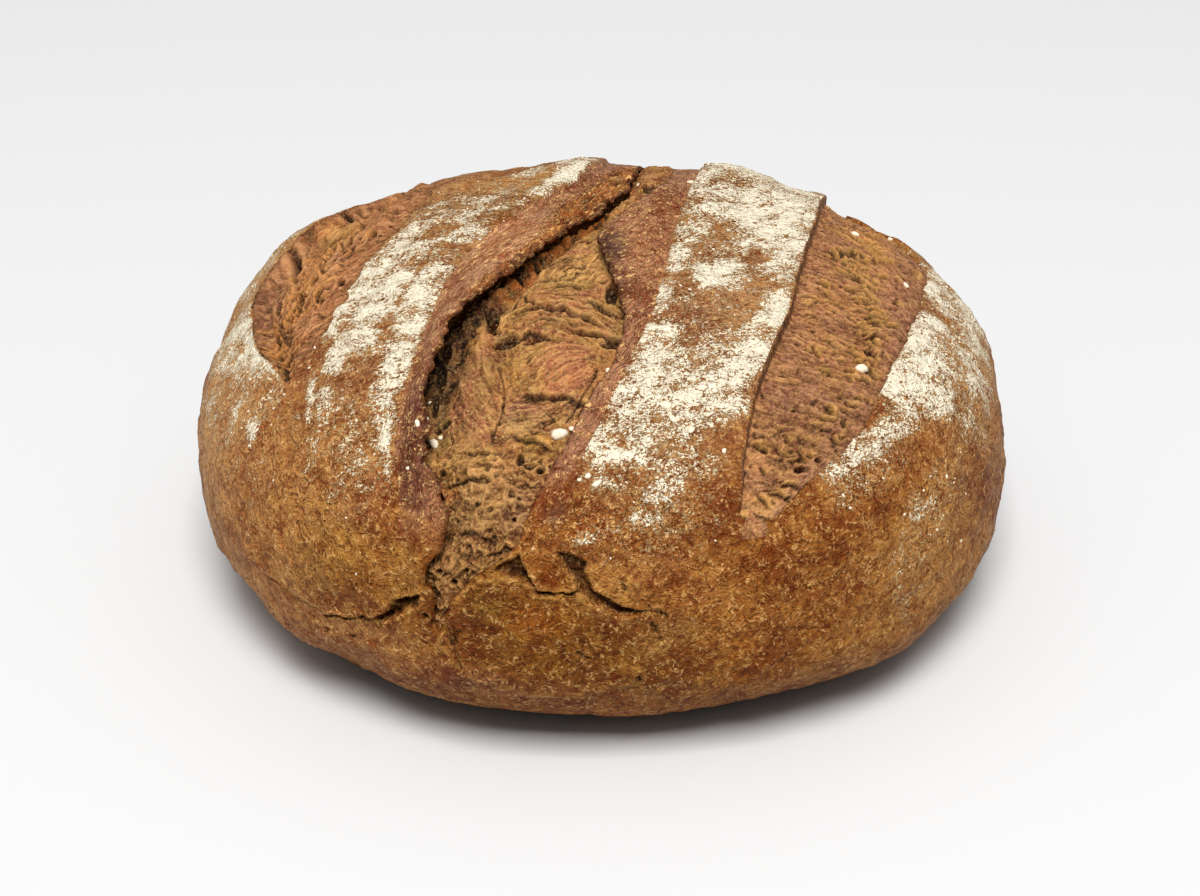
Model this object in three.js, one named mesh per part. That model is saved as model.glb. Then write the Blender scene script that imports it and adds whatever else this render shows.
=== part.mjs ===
// A round hearth loaf of sourdough, 250 mm across, resting on its flat foot.
//
// The loaf is one closed solid: a low dome of crust, slashed three times from
// front to back before baking. The middle slash burst wide open in the oven
// and left a hollow of torn crumb between two raised lips. The two outer
// slashes opened less and healed into shallow troughs.
//
// The skin is a grid. Its columns run from front to back over the dome and
// follow the edges of the slashes, and its rows fan out round the long axis
// that joins the left tip to the right tip. The place of a row is its "turn":
// 0 at the front belly line, 90 at the crown, 180 at the back belly line.
import * as THREE from "three";

// ---- The plain dome, in millimetres ----
const WIDTH = 250; // from the left tip to the right tip, along X
const DEPTH = 240; // from front to back, along Y
const HEIGHT = 103.6; // foot to crown before the burst lifts it
const BELLY = 36; // height of the widest level
const DROP = 47; // how far the rounding under the belly would reach
const PLAN_POWER = 2.17; // roundness of the outline seen from above
const CROWN_POWER = 2.74; // fullness of the dome above the belly
const UNDER_POWER = 2.3; // fullness of the curve below the belly

// ---- Edges of the slashes: X at each turn, from the front foot to the back foot ----
const TURNS = [-40, 0, 8, 13, 17, 22, 32, 46, 60, 75, 92, 112, 130, 150, 180, 220];
const EDGES = [
  // left slash, outer edge and inner edge
  [-98, -98, -97, -95, -94, -93, -92, -92, -101, -104, -106, -102, -88, -67, -66, -98],
  [-74, -80, -81, -82, -83, -84, -86, -90, -81, -76, -70, -62, -55, -58, -56, -74],
  // burst: edge of the floured skin on the left, then the torn left lip
  [-50, -54, -54, -54, -54, -55, -57, -53, -49, -45, -38, -23, -6, 1, -12, -50],
  [-30, -47, -47, -48, -43, -43.5, -48, -47.5, -40.5, -25.5, -12, 4, 14, 17, 2, -30],
  // burst: the torn right lip, then the edge of the floured skin on the right
  [-20, -38, -42, -34, -23, -23, -13, 2.5, 6.2, 2.4, -2, 8, 17, 20, 14, -20],
  [4, -14, -15, -18, -20, -17, -4, 7, 14, 18, 21, 25, 30, 35, 34, 4],
  // right slash, inner edge and outer edge
  [40, 30, 32, 34, 36, 37, 39, 46, 53, 57, 61, 66, 70, 74, 64, 40],
  [78, 60, 52, 47, 44, 49, 70, 81, 89, 94, 98, 102, 99, 84, 80, 78],
];

// ---- How strongly each mark shows, as pairs of turn and millimetres ----
const LEFT_LIP_RISE = [[0, 1.2], [14, 2], [24, 2.6], [40, 4], [60, 5], [85, 5], [105, 3.6], [125, 1.6], [160, 0]];
const RIGHT_LIP_RISE = [[0, 0.5], [12, 2.2], [20, 0.9], [30, 0.6], [45, 1.8], [60, 3.6], [85, 4], [105, 3], [160, 0]];
const HOLLOW_DEPTH = [[0, 1], [10, 3], [24, 6], [38, 9.5], [55, 12.5], [75, 12], [95, 9], [110, 6], [130, 4], [160, 0]];
const LEFT_UNDERCUT = [[0, 0.6], [20, 1.6], [45, 3.2], [60, 4], [80, 3.4], [100, 2], [125, 0.8], [160, 0]];
const RIGHT_UNDERCUT = [[0, 0.6], [12, 1.2], [20, 0.3], [40, 0.3], [52, 1.4], [65, 2.1], [85, 1.6], [125, 0.4], [160, 0]];

// ---- Broad swellings and hollows of the hand-shaped dough ----
// X, turn, reach along X, reach along the turn, and lift.
const SWELLINGS = [
  [-98, 134, 15, 18, 3],
  [-119, 110, 9, 18, -2.6],
  [-68, 142, 16, 12, -1.8],
  [-30, 146, 13, 12, -1.9],
  [0, 148, 9, 10, 1.2],
  [41, 142, 10, 12, 2],
  [65, 146, 9, 10, -1.6],
  [94, 147, 11, 13, -2.4],
  [108, 130, 9, 12, -1],
  [120, 116, 8, 16, 1.2],
  [90, -12, 24, 10, 1.9],
  [1, -12, 14, 10, 0.9],
  [-72, -12, 13, 10, -2.4],
  [-108, -10, 10, 10, -1.8],
];

// ---- Short cracks in the front crust, as points of X and turn ----
const CRACKS = [
  [[-11, 17], [-7, 14.5], [-2.6, 12.8], [3.3, 9.6], [8.9, 9.8], [13.2, 10.5]],
  [[-47, 10.6], [-56, 8.6], [-64, 5], [-73, 3.3]],
];
const CRACK_DEPTH = 2.4;
const CRACK_WIDTH = 2.6;
const TURN_LENGTH = 2.06; // millimetres of front crust to one degree of turn

// ---- Grid: columns in each strip between edges, rows in each span of turns ----
const STRIP_COLUMNS = [8, 5, 5, 4, 9, 4, 6, 6, 8];
const HOLLOW_STRIP = 4;
const HOLLOW_PLACES = [0, 0.11, 0.22, 0.35, 0.48, 0.62, 0.76, 0.9, 0.95];
const ROW_SPANS = [[-40, 0, 8], [0, 60, 34], [60, 140, 38], [140, 180, 14], [180, 220, 8]];

// ---- Small mathematics ----
const radians = (degrees) => (degrees * Math.PI) / 180;
const clamp = (value, low, high) => Math.min(Math.max(value, low), high);
const mix = (from, to, share) => from + (to - from) * share;

// 0 below low, 1 above high, smooth between.
function ramp(low, high, value) {
  const t = clamp((value - low) / (high - low), 0, 1);
  return t * t * (3 - 2 * t);
}

// 0, then 1 between the two middle values, then 0 again.
function window(low, full, fade, high, value) {
  return ramp(low, full, value) * (1 - ramp(fade, high, value));
}

function bell(value, centre, width) {
  return Math.exp(-(((value - centre) / width) ** 2));
}

// A smooth curve through pairs of place and value, flat beyond its ends.
function through(pairs, place) {
  const last = pairs.length - 1;
  const x = clamp(place, pairs[0][0], pairs[last][0]);
  let i = 0;
  while (i < last - 1 && x >= pairs[i + 1][0]) i += 1;
  const slope = (k) => {
    const a = pairs[Math.max(k - 1, 0)];
    const b = pairs[Math.min(k + 1, last)];
    return (b[1] - a[1]) / (b[0] - a[0]);
  };
  const span = pairs[i + 1][0] - pairs[i][0];
  const t = (x - pairs[i][0]) / span;
  const rise = t * t * (3 - 2 * t);
  const start = t * (1 - t) ** 2 * span * slope(i);
  const end = t * t * (t - 1) * span * slope(i + 1);
  return mix(pairs[i][1], pairs[i + 1][1], rise) + start + end;
}

// Repeatable number from -1 to 1 at a lattice point.
function chance(i, j, k) {
  const s = Math.sin(i * 127.1 + j * 311.7 + k * 74.7) * 43758.5453;
  return 2 * (s - Math.floor(s)) - 1;
}

// Smooth unevenness from -1 to 1 with bumps about one cell across.
function unevenness(point, cell) {
  const scaled = point.map((value) => value / cell);
  const corner = scaled.map(Math.floor);
  const [u, v, w] = scaled.map((value, axis) => {
    const t = value - corner[axis];
    return t * t * t * (t * (t * 6 - 15) + 10);
  });
  const at = (a, b, c) => chance(corner[0] + a, corner[1] + b, corner[2] + c);
  const along = (b, c) => mix(at(0, b, c), at(1, b, c), u);
  return mix(mix(along(0, 0), along(1, 0), v), mix(along(0, 1), along(1, 1), v), w);
}

// ---- The plain dome ----
const FOOT_FILL = (1 - (BELLY / DROP) ** UNDER_POWER) ** (PLAN_POWER / UNDER_POWER);

// Half the depth of the flat foot at a given X, or 0 beyond its ends.
function footHalfDepth(x) {
  const left = FOOT_FILL - (Math.abs(x) / (WIDTH / 2)) ** PLAN_POWER;
  return (DEPTH / 2) * Math.max(left, 0) ** (1 / PLAN_POWER);
}

// True angle of a row at X: below the belly, rows close up to end on the foot's edge.
function angleOf(turn, x) {
  const foot = (Math.atan2(BELLY, footHalfDepth(x)) * 180) / Math.PI;
  if (turn < 0) return radians((foot * turn) / 40);
  if (turn > 180) return radians(180 + (foot * (turn - 180)) / 40);
  return radians(turn);
}

function domePoint(x, angle) {
  const c = Math.abs(Math.cos(angle));
  const s = Math.abs(Math.sin(angle));
  const above = Math.sin(angle) >= 0;
  const rise = above ? HEIGHT - BELLY : DROP;
  const power = above ? CROWN_POWER : UNDER_POWER;
  const end = (Math.abs(x) / (WIDTH / 2)) ** PLAN_POWER;
  const filled = (r) =>
    (end + ((r * c) / (DEPTH / 2)) ** PLAN_POWER) ** (power / PLAN_POWER) + ((r * s) / rise) ** power;
  let near = 0;
  let far = WIDTH;
  for (let i = 0; i < 40; i += 1) {
    const middle = (near + far) / 2;
    if (filled(middle) < 1) near = middle;
    else far = middle;
  }
  const reach = above || s === 0 ? near : Math.min(near, BELLY / s);
  return [x, -reach * Math.cos(angle), BELLY + reach * Math.sin(angle)];
}

function domeNormal([x, y, z]) {
  const above = z >= BELLY;
  const rise = above ? HEIGHT - BELLY : DROP;
  const power = above ? CROWN_POWER : UNDER_POWER;
  const px = Math.abs(x) / (WIDTH / 2);
  const py = Math.abs(y) / (DEPTH / 2);
  const pz = Math.abs(z - BELLY) / rise;
  const plan = Math.max(px ** PLAN_POWER + py ** PLAN_POWER, 1e-12) ** (power / PLAN_POWER - 1);
  const nx = (plan * Math.sign(x) * px ** (PLAN_POWER - 1)) / (WIDTH / 2);
  const ny = (plan * Math.sign(y) * py ** (PLAN_POWER - 1)) / (DEPTH / 2);
  const nz = (Math.sign(z - BELLY) * pz ** (power - 1)) / rise;
  return new THREE.Vector3(nx, ny, nz).normalize().toArray();
}

// ---- Marks on the dome ----
// Height of the torn crumb against the plain dome; across runs from 0 at the left to 1.
function crumbHeight(across, turn) {
  const climb = 0.62 * ramp(0, 0.42, across) + 0.16 * ramp(0.6, 1, across);
  const boulder = 4 * Math.exp(-(((across - 0.66) / 0.24) ** 2) - ((turn - 50) / 9) ** 2);
  const lobe = 2.5 * Math.exp(-(((across - 0.26) / 0.12) ** 2) - ((turn - 42) / 9) ** 2);
  const fissure = 2.5 * Math.exp(-(((across - 0.43) / 0.05) ** 2) - ((turn - 43) / 7) ** 2);
  const layers = 1.5 * Math.sin(((turn - 60) / 5.2) * Math.PI) * window(56, 60, 74, 80, turn);
  return -through(HOLLOW_DEPTH, turn) * (1 - climb) + boulder + lobe - fissure + layers;
}

// Distance in millimetres from a place on the front crust to a crack.
function crackDistance(x, turn, crack) {
  let nearest = Infinity;
  for (let i = 0; i + 1 < crack.length; i += 1) {
    const ax = x - crack[i][0];
    const ay = (turn - crack[i][1]) * TURN_LENGTH;
    const bx = crack[i + 1][0] - crack[i][0];
    const by = (crack[i + 1][1] - crack[i][1]) * TURN_LENGTH;
    const t = clamp((ax * bx + ay * by) / (bx * bx + by * by), 0, 1);
    nearest = Math.min(nearest, Math.hypot(ax - t * bx, ay - t * by));
  }
  return nearest;
}

// Where the hollow's surface lies: under the left lip, across the crumb, up to the right lip.
function hollowPlace(place, turn, left, right) {
  const leftBack = 0.75 * through(LEFT_UNDERCUT, turn);
  const rightBack = 0.75 * through(RIGHT_UNDERCUT, turn);
  const sunk = 0.7 + 1.8 * ramp(112, 135, turn);
  const leftTop = through(LEFT_LIP_RISE, turn) - sunk;
  const rightTop = through(RIGHT_LIP_RISE, turn) - sunk;
  if (place < 0.22) {
    const down = place / 0.22;
    const lift = mix(leftTop, crumbHeight(0, turn), ramp(0.1, 1, down));
    return [left - leftBack * ramp(0, 1, down), lift];
  }
  if (place > 0.9) {
    const up = (1 - place) / 0.1;
    return [right + rightBack * ramp(0, 1, up), mix(rightTop, crumbHeight(1, turn), ramp(0, 1, up))];
  }
  const across = (place - 0.22) / 0.68;
  return [mix(left - leftBack, right + rightBack, across), crumbHeight(across, turn)];
}

// X and lift of one grid point, before the general unevenness.
function markedPlace(strip, place, turn, bounds) {
  const [from, to] = bounds;
  const x = mix(from, to, place);
  const leftSlash = window(46, 60, 146, 164, turn);
  const rightSlash = window(22, 32, 152, 170, turn);
  const burst = window(7, 19, 142, 160, turn);
  const sunk = 1.8 * ramp(112, 135, turn);
  const skinStand = 1.6 * window(92, 112, 132, 150, turn);
  if (strip === 0) return [x, leftSlash * 1.2 * Math.exp((x - to) / 6)];
  if (strip === 1) {
    const trough = 4.4 * ramp(0, 1.2, x - from) * (1 - 0.8 * ramp(0.25, 0.95, place));
    const ridge = 2 * bell(place, 0.78, 0.12) * ramp(92, 112, turn);
    return [x, leftSlash * (1.2 - trough + ridge)];
  }
  if (strip === 2) return [x, burst * (0.9 * Math.sin(Math.PI * place) + skinStand * ramp(0.5, 1, place))];
  if (strip === 3) {
    const rise = through(LEFT_LIP_RISE, turn) * Math.sin((Math.PI / 2) * place ** 0.9);
    return [x, burst * (rise - 0.7 * ramp(0, 0.06, place) - sunk * ramp(0, 0.15, place))];
  }
  if (strip === HOLLOW_STRIP) {
    const [hollowX, lift] = hollowPlace(place, turn, from, to);
    return [mix(x, hollowX, burst), burst * lift];
  }
  if (strip === 5) {
    const rise = through(RIGHT_LIP_RISE, turn) * Math.sin((Math.PI / 2) * (1 - place) ** 0.9);
    return [x, burst * (rise - 0.7 * ramp(0, 0.06, 1 - place) - sunk * ramp(0, 0.15, 1 - place))];
  }
  if (strip === 6) {
    const pillow = burst * (0.9 * Math.sin(Math.PI * place) + skinStand * ramp(0.5, 1, 1 - place));
    return [x, pillow + rightSlash * 1.5 * ramp(0.6, 1, place)];
  }
  if (strip === 7) {
    const trough = 4.2 * ramp(0, 1.2, x - from) - 2.4 * ramp(0.3, 1, place);
    const back = 2.2 * ramp(100, 135, turn) * ramp(0, 0.4, place);
    return [x, rightSlash * (1.5 - trough - back)];
  }
  return [x, rightSlash * (0.8 * ramp(0, 0.05, place) - 0.3) * Math.exp((from - x) / 12)];
}

// ---- One point of the skin ----
function skinPoint(strip, place, turn) {
  const edgeAt = (index) => {
    if (index < 0) return -WIDTH / 2;
    if (index >= EDGES.length) return WIDTH / 2;
    return through(TURNS.map((at, i) => [at, EDGES[index][i]]), turn);
  };
  const [x, markLift] = markedPlace(strip, place, turn, [edgeAt(strip - 1), edgeAt(strip)]);
  const base = domePoint(x, angleOf(turn, x));
  const normal = domeNormal(base);
  const general = 0.7 * unevenness(base, 62) + 0.6 * unevenness(base.map((v) => v + 91), 26);
  const torn = strip === HOLLOW_STRIP ? unevenness(base, 9) * window(10, 20, 130, 150, turn) : 0;
  let lift = markLift + general + torn;
  for (const [atX, atTurn, reachX, reachTurn, rise] of SWELLINGS) {
    lift += rise * bell(x, atX, reachX) * bell(turn, atTurn, reachTurn);
  }
  for (const crack of CRACKS) {
    const away = crackDistance(x, turn, crack);
    lift += 0.7 * bell(away, 2 * CRACK_WIDTH, CRACK_WIDTH) - CRACK_DEPTH * bell(away, 0, CRACK_WIDTH);
  }
  const free = ramp(0, 14, base[2]); // the foot itself stays flat
  return base.map((value, axis) => value + normal[axis] * lift * free);
}

// ---- The grid ----
const columns = [];
STRIP_COLUMNS.forEach((count, strip) => {
  const last = STRIP_COLUMNS.length - 1;
  for (let i = 0; i < count; i += 1) {
    const even = i / count;
    let place = mix(even, 0.5 - 0.5 * Math.cos(Math.PI * even), 0.5);
    if (strip === 0) place = even ** 1.5;
    if (strip === last) place = 1 - (1 - even) ** 1.5;
    if (strip === HOLLOW_STRIP) place = HOLLOW_PLACES[i];
    columns.push([strip, place]);
  }
});
columns.shift(); // the left tip is one point of its own

const rows = ROW_SPANS.flatMap(([from, to, count]) =>
  Array.from({ length: count }, (_, i) => mix(from, to, i / count)),
);
rows.push(ROW_SPANS[ROW_SPANS.length - 1][1]);

const points = [];
const addPoint = (point) => points.push(point) - 1;
const leftTip = addPoint([-WIDTH / 2, 0, BELLY]);
const rightTip = addPoint([WIDTH / 2, 0, BELLY]);
const grid = columns.map(([strip, place]) => rows.map((turn) => addPoint(skinPoint(strip, place, turn))));

// Beyond the ends of the foot, the front and back rows end on the same point.
const lastRow = rows.length - 1;
for (const column of grid) {
  const front = points[column[0]];
  const back = points[column[lastRow]];
  if (Math.hypot(front[0] - back[0], front[1] - back[1], front[2] - back[2]) < 1e-6) column[lastRow] = column[0];
}

const triangles = [];
function addTriangle(a, b, c) {
  if (a !== b && b !== c && c !== a) triangles.push(a, b, c);
}

// A four-sided cell, cut along its shorter diagonal.
function addCell(a, b, c, d) {
  const span = (p, q) => Math.hypot(...points[p].map((value, axis) => value - points[q][axis]));
  if (span(a, c) <= span(b, d)) {
    addTriangle(a, b, c);
    addTriangle(a, c, d);
  } else {
    addTriangle(a, b, d);
    addTriangle(b, c, d);
  }
}

for (let r = 0; r < lastRow; r += 1) {
  addTriangle(leftTip, grid[0][r], grid[0][r + 1]);
  for (let c = 0; c + 1 < grid.length; c += 1) {
    addCell(grid[c][r], grid[c + 1][r], grid[c + 1][r + 1], grid[c][r + 1]);
  }
  addTriangle(rightTip, grid[grid.length - 1][r + 1], grid[grid.length - 1][r]);
}
// The flat foot, as strips from the front row to the back row.
for (let c = 0; c + 1 < grid.length; c += 1) {
  addCell(grid[c][lastRow], grid[c + 1][lastRow], grid[c + 1][0], grid[c][0]);
}

// ---- The loaf, with the middle of its foot box at the origin ----
const box = new THREE.Box3();
for (const point of points) box.expandByPoint(new THREE.Vector3(...point));
const middle = box.getCenter(new THREE.Vector3());
const geometry = new THREE.BufferGeometry();
geometry.setAttribute("position", new THREE.Float32BufferAttribute(points.flat(), 3));
geometry.setIndex(triangles);
geometry.translate(-middle.x, -middle.y, 0);
geometry.computeVertexNormals();

const crust = new THREE.MeshStandardMaterial({ color: 0x8f5c2c, roughness: 0.85 });
const loaf = new THREE.Mesh(geometry, crust);
loaf.name = "loaf";

const part = new THREE.Group();
part.name = "sourdough_loaf";
part.add(loaf);

export default part;
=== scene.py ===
# %% [markdown]
# # A round hearth loaf of sourdough
# This lesson dresses a loaf of bread that was first drawn as one plain solid.
# The solid is the frame: it says where the loaf is and how large. Here it gets
# its baked skin, the torn crumb in its three slashes, its flour, and light.
# Lengths are worked out in millimetres and turned to metres at the very end.

# %% Load the frame and keep its box
import math
from functools import partial

import bpy
import numpy as np
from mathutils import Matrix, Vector


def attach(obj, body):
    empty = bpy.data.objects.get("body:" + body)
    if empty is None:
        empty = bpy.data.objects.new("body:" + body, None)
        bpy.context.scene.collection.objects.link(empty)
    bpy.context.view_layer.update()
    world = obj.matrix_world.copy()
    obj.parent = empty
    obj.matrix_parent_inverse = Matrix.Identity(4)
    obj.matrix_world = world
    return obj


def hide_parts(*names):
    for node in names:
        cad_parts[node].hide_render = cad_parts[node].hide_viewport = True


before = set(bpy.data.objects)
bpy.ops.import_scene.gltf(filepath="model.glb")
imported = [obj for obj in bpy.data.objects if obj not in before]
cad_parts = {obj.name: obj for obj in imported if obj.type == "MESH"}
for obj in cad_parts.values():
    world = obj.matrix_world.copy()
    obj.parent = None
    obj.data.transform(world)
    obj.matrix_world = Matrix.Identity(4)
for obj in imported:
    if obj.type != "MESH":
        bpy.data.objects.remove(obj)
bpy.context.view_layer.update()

# %% [markdown]
# ## The plain dome
# Under its marks the loaf is a low dome: almost round from above, full at the
# crown and curling in under its belly to a flat foot. A "super-ellipsoid" says
# this in one line, because its powers make a circle fuller or leaner. Each
# point has two parameters: X, from the left tip to the right tip, and the turn,
# an angle about the long axis that is 0 at the front, 90 at the crown and 180
# at the back. The slashes run along the turn, so the grid follows them.

# %% Sizes of the dome, and the curves that its marks are made of
WIDTH, DEPTH, HEIGHT = 250.0, 240.0, 103.6
BELLY, DROP = 36.0, 47.0
PLAN_POWER, CROWN_POWER, UNDER_POWER = 2.17, 2.74, 2.3
UNDER = 40.0  # the turn from the belly line down to the edge of the foot
FOOT_FADE = 14.0  # below this height nothing stands out much, so the foot stays flat
CENTRE_SHIFT = np.array([0.0, 0.158, 0.0])  # brings the middle of the foot's box to the origin
HALVINGS = 34  # of the search for the dome, down to far less than a thousandth of a millimetre


def ramp(low, high, value):
    """0 below low, 1 above high, and 3t^2 - 2t^3 between."""
    t = np.clip((value - low) / (high - low), 0, 1)
    return t * t * (3 - 2 * t)


def window(low, full, fade, high, value):
    """A ramp up from low to full, times a ramp down from fade to high."""
    return ramp(low, full, value) * (1 - ramp(fade, high, value))


def bell(value, centre, width):
    """e to the minus square of the distance from the centre in widths."""
    return np.exp(-(((value - centre) / width) ** 2))


def oval(x, turn, at_x, at_turn, reach_x, reach_turn):
    """1 in the middle, e to the minus fourth power of the distance in reaches outside it."""
    away = ((x - at_x) / reach_x) ** 2 + ((turn - at_turn) / reach_turn) ** 2
    return np.exp(-(away**2))


def through(pairs, place):
    """A cubic through (place, value) pairs whose slope at each is that between its neighbours."""
    xs, ys = np.array(pairs, float).T
    slope = np.empty_like(ys)
    slope[1:-1] = (ys[2:] - ys[:-2]) / (xs[2:] - xs[:-2])
    slope[0] = (ys[1] - ys[0]) / (xs[1] - xs[0])
    slope[-1] = (ys[-1] - ys[-2]) / (xs[-1] - xs[-2])
    x = np.clip(place, xs[0], xs[-1])
    i = np.clip(np.searchsorted(xs, x, side="right") - 1, 0, len(xs) - 2)
    span = xs[i + 1] - xs[i]
    t = (x - xs[i]) / span
    rise = t * t * (3 - 2 * t)
    ends = t * (1 - t) ** 2 * span * slope[i] + t * t * (t - 1) * span * slope[i + 1]
    return ys[i] + (ys[i + 1] - ys[i]) * rise + ends


print("a ramp rises as", ramp(0, 4, np.arange(5)).round(2))


# %% A point and a normal on the dome
def row_angle(turn, x):
    """The turn as an angle; below the belly the rows close up to end on the foot's edge."""
    fill = (1 - (BELLY / DROP) ** UNDER_POWER) ** (PLAN_POWER / UNDER_POWER)
    half = DEPTH / 2 * np.maximum(fill - (np.abs(x) / (WIDTH / 2)) ** PLAN_POWER, 0) ** (1 / PLAN_POWER)
    foot = np.degrees(np.arctan2(BELLY, half))
    low, high = foot * turn / UNDER, 180 + foot * (turn - 180) / UNDER
    return np.radians(np.where(turn < 0, low, np.where(turn > 180, high, turn)))


def dome_point(x, angle):
    """The reach from the long axis where ((|x|/a)^p + (|y|/b)^p)^(q/p) + (|z|/c)^q is 1, by halving."""
    c, s = np.abs(np.cos(angle)), np.abs(np.sin(angle))
    above = np.sin(angle) >= 0
    rise = np.where(above, HEIGHT - BELLY, DROP)
    power = np.where(above, CROWN_POWER, UNDER_POWER)
    end = (np.abs(x) / (WIDTH / 2)) ** PLAN_POWER
    near, far = np.zeros(np.broadcast(x, angle).shape), np.full(np.broadcast(x, angle).shape, WIDTH)
    for _ in range(HALVINGS):
        reach = (near + far) / 2
        plan = end + (reach * c / (DEPTH / 2)) ** PLAN_POWER
        inside = plan ** (power / PLAN_POWER) + (reach * s / rise) ** power < 1
        near, far = np.where(inside, reach, near), np.where(inside, far, reach)
    reach = np.where(above, near, np.minimum(near, BELLY / np.maximum(s, 1e-9)))
    return np.stack([x + 0 * reach, -reach * np.cos(angle), BELLY + reach * np.sin(angle)], -1)


def dome_normal(point):
    """The slope of the dome's formula at a point, made one long."""
    x, y, z = np.moveaxis(point, -1, 0)
    above = z >= BELLY
    rise = np.where(above, HEIGHT - BELLY, DROP)
    power = np.where(above, CROWN_POWER, UNDER_POWER)
    px, py, pz = np.abs(x) / (WIDTH / 2), np.abs(y) / (DEPTH / 2), np.abs(z - BELLY) / rise
    plan = np.maximum(px**PLAN_POWER + py**PLAN_POWER, 1e-12) ** (power / PLAN_POWER - 1)
    slope = np.stack([
        plan * np.sign(x) * px ** (PLAN_POWER - 1) / (WIDTH / 2),
        plan * np.sign(y) * py ** (PLAN_POWER - 1) / (DEPTH / 2),
        np.sign(z - BELLY) * pz ** (power - 1) / rise,
    ], -1)
    return slope / np.maximum(np.linalg.norm(slope, axis=-1, keepdims=True), 1e-12)


def pushed_out(base, lift):
    """Points of the dome moved square to it by the lift, which fades to nothing at the floor."""
    return base + dome_normal(base) * (lift * ramp(0, FOOT_FADE, base[..., 2]))[..., None]


crown = dome_point(np.zeros(1), np.radians(90) * np.ones(1))[0]
print("crown of the plain dome at", crown.round(1), "mm")

# %% [markdown]
# ## Unevenness
# Nothing in bread repeats, and nothing in it is smooth for long. Three kinds of
# noise do the work: soft swellings, layers of ever finer ones, and pits, which
# measure how far a place is from the nearest of many scattered bubbles. All of
# them are worked out from the place itself, so they come out the same each time.


# %% Noise in millimetres
def chance(i, j, k, salt=0.0):
    """A repeatable number from 0 to 1 for a lattice point: the fraction of a large sine."""
    s = np.sin(i * 127.1 + j * 311.7 + k * 74.7 + salt) * 43758.5453
    return s - np.floor(s)


def unevenness(point, cell):
    """Chance at the eight corners of a cell, blended by 6t^5 - 15t^4 + 10t^3, from -1 to 1."""
    scaled = point / cell
    corner = np.floor(scaled)
    t = scaled - corner
    u, v, w = np.moveaxis(t * t * t * (t * (t * 6 - 15) + 10), -1, 0)
    i, j, k = np.moveaxis(corner, -1, 0)

    def along(b, c):
        """Blended along the first axis, on one side or the other of the second and third."""
        first, second = chance(i, j + b, k + c), chance(i + 1, j + b, k + c)
        return first + (second - first) * u

    low = along(0, 0) + (along(1, 0) - along(0, 0)) * v
    high = along(0, 1) + (along(1, 1) - along(0, 1)) * v
    return 2 * (low + (high - low) * w) - 1


def layered(point, cell, layers=4, keep=0.55):
    """Unevenness plus itself at half the cell and keep times the height, again and again."""
    total, height, whole = 0, 1.0, 0.0
    for layer in range(layers):
        total = total + height * unevenness(point + 17.3 * layer, cell / 2**layer)
        whole += height
        height *= keep
    return total / whole


def crests(point, cell, layers=3, keep=0.55):
    """Layers of 1 - 4 |unevenness|: sharp crests between round valleys, as in torn dough."""
    total, height, whole = 0, 1.0, 0.0
    for layer in range(layers):
        folds = np.abs(unevenness(point + 31.7 * layer, cell / 2**layer))
        total = total + height * np.maximum(1 - 4 * folds, -1)
        whole += height
        height *= keep
    return total / whole


def warped(point, reach, cell):
    """The place itself, moved up to a reach each way by unevenness, so that what is drawn there curls."""
    return point + reach * np.stack([unevenness(point + 11 * axis, cell) for axis in (1, 2, 3)], -1)


def bubbles(point, cell, salt=3.0):
    """Distance in cells to the nearest of one scattered bubble per cell, and that bubble's chance."""
    scaled = point / cell
    corner = np.floor(scaled)
    nearest = np.full(point.shape[:-1], 9.0)
    luck = np.zeros(point.shape[:-1])
    for step in np.ndindex(3, 3, 3):
        i, j, k = np.moveaxis(corner + np.array(step) - 1, -1, 0)
        apart = [chance(i, j, k, salt + shift) for shift in (0, 5, 9)]
        centre = np.stack([i + apart[0], j + apart[1], k + apart[2]], -1)
        away = np.linalg.norm(scaled - centre, axis=-1)
        closer = away < nearest
        luck = np.where(closer, chance(i, j, k, salt + 13), luck)
        nearest = np.where(closer, away, nearest)
    return nearest, luck


def wobbling(point):
    """How far a torn edge strays to either side, in small bends on larger ones."""
    return 1.1 * unevenness(point, 5.0) + 0.5 * unevenness(point, 1.9)


sample = np.random.default_rng(5).uniform(-100, 100, (2000, 3))
heights = unevenness(sample, 20.0)
print("unevenness spans", heights.min().round(2), "to", heights.max().round(2))

# %% [markdown]
# ## Where the slashes run
# A baker cuts the dough with a blade just before it goes into the oven. Here
# three cuts run from front to back. Eight edges divide the skin into strips:
# skin, left slash, floured skin, left ear, burst, right ear, floured skin,
# right slash, skin. A table gives the X of each edge at a few turns, and a
# smooth curve joins them. Where a slash has closed, its strip narrows.

# %% Edges of the strips
TURNS = [-40, 0, 8, 13, 17, 22, 32, 46, 60, 75, 92, 112, 130, 150, 180, 220]
EDGES = {
    "left slash, outer": [-98, -98, -97, -95, -94, -93, -92, -92, -101, -104, -106, -102, -88, -67, -66, -98],
    "left slash, inner": [-74, -80, -81, -82, -83, -84, -86, -90, -81, -76, -70, -62, -55, -58, -56, -74],
    "left ear, skin": [-50, -54, -54, -54, -54, -55, -57, -53, -49, -45, -38, -23, -6, 1, -12, -50],
    "left ear, lip": [-30, -47, -47, -48, -43, -43.5, -48, -47, -39, -24.8, -12, 1.8, 9.2, 13.0, 2, -30],
    "right ear, lip": [-20, -38, -41, -34, -23, -19, -9.5, 2.5, 6.2, 2.4, -1, 10.4, 20.5, 22, 14, -20],
    "right ear, skin": [4, -14, -15, -18, -19.5, -15, -3, 7, 14, 18, 21, 25, 30, 35, 34, 4],
    "right slash, inner": [40, 30, 32, 34, 36, 37, 39, 46, 53, 57, 61, 66, 70, 74, 64, 40],
    "right slash, outer": [78, 60, 52, 47, 44, 49, 70, 81, 89, 94, 98, 102, 99, 84, 80, 78],
}
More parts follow.
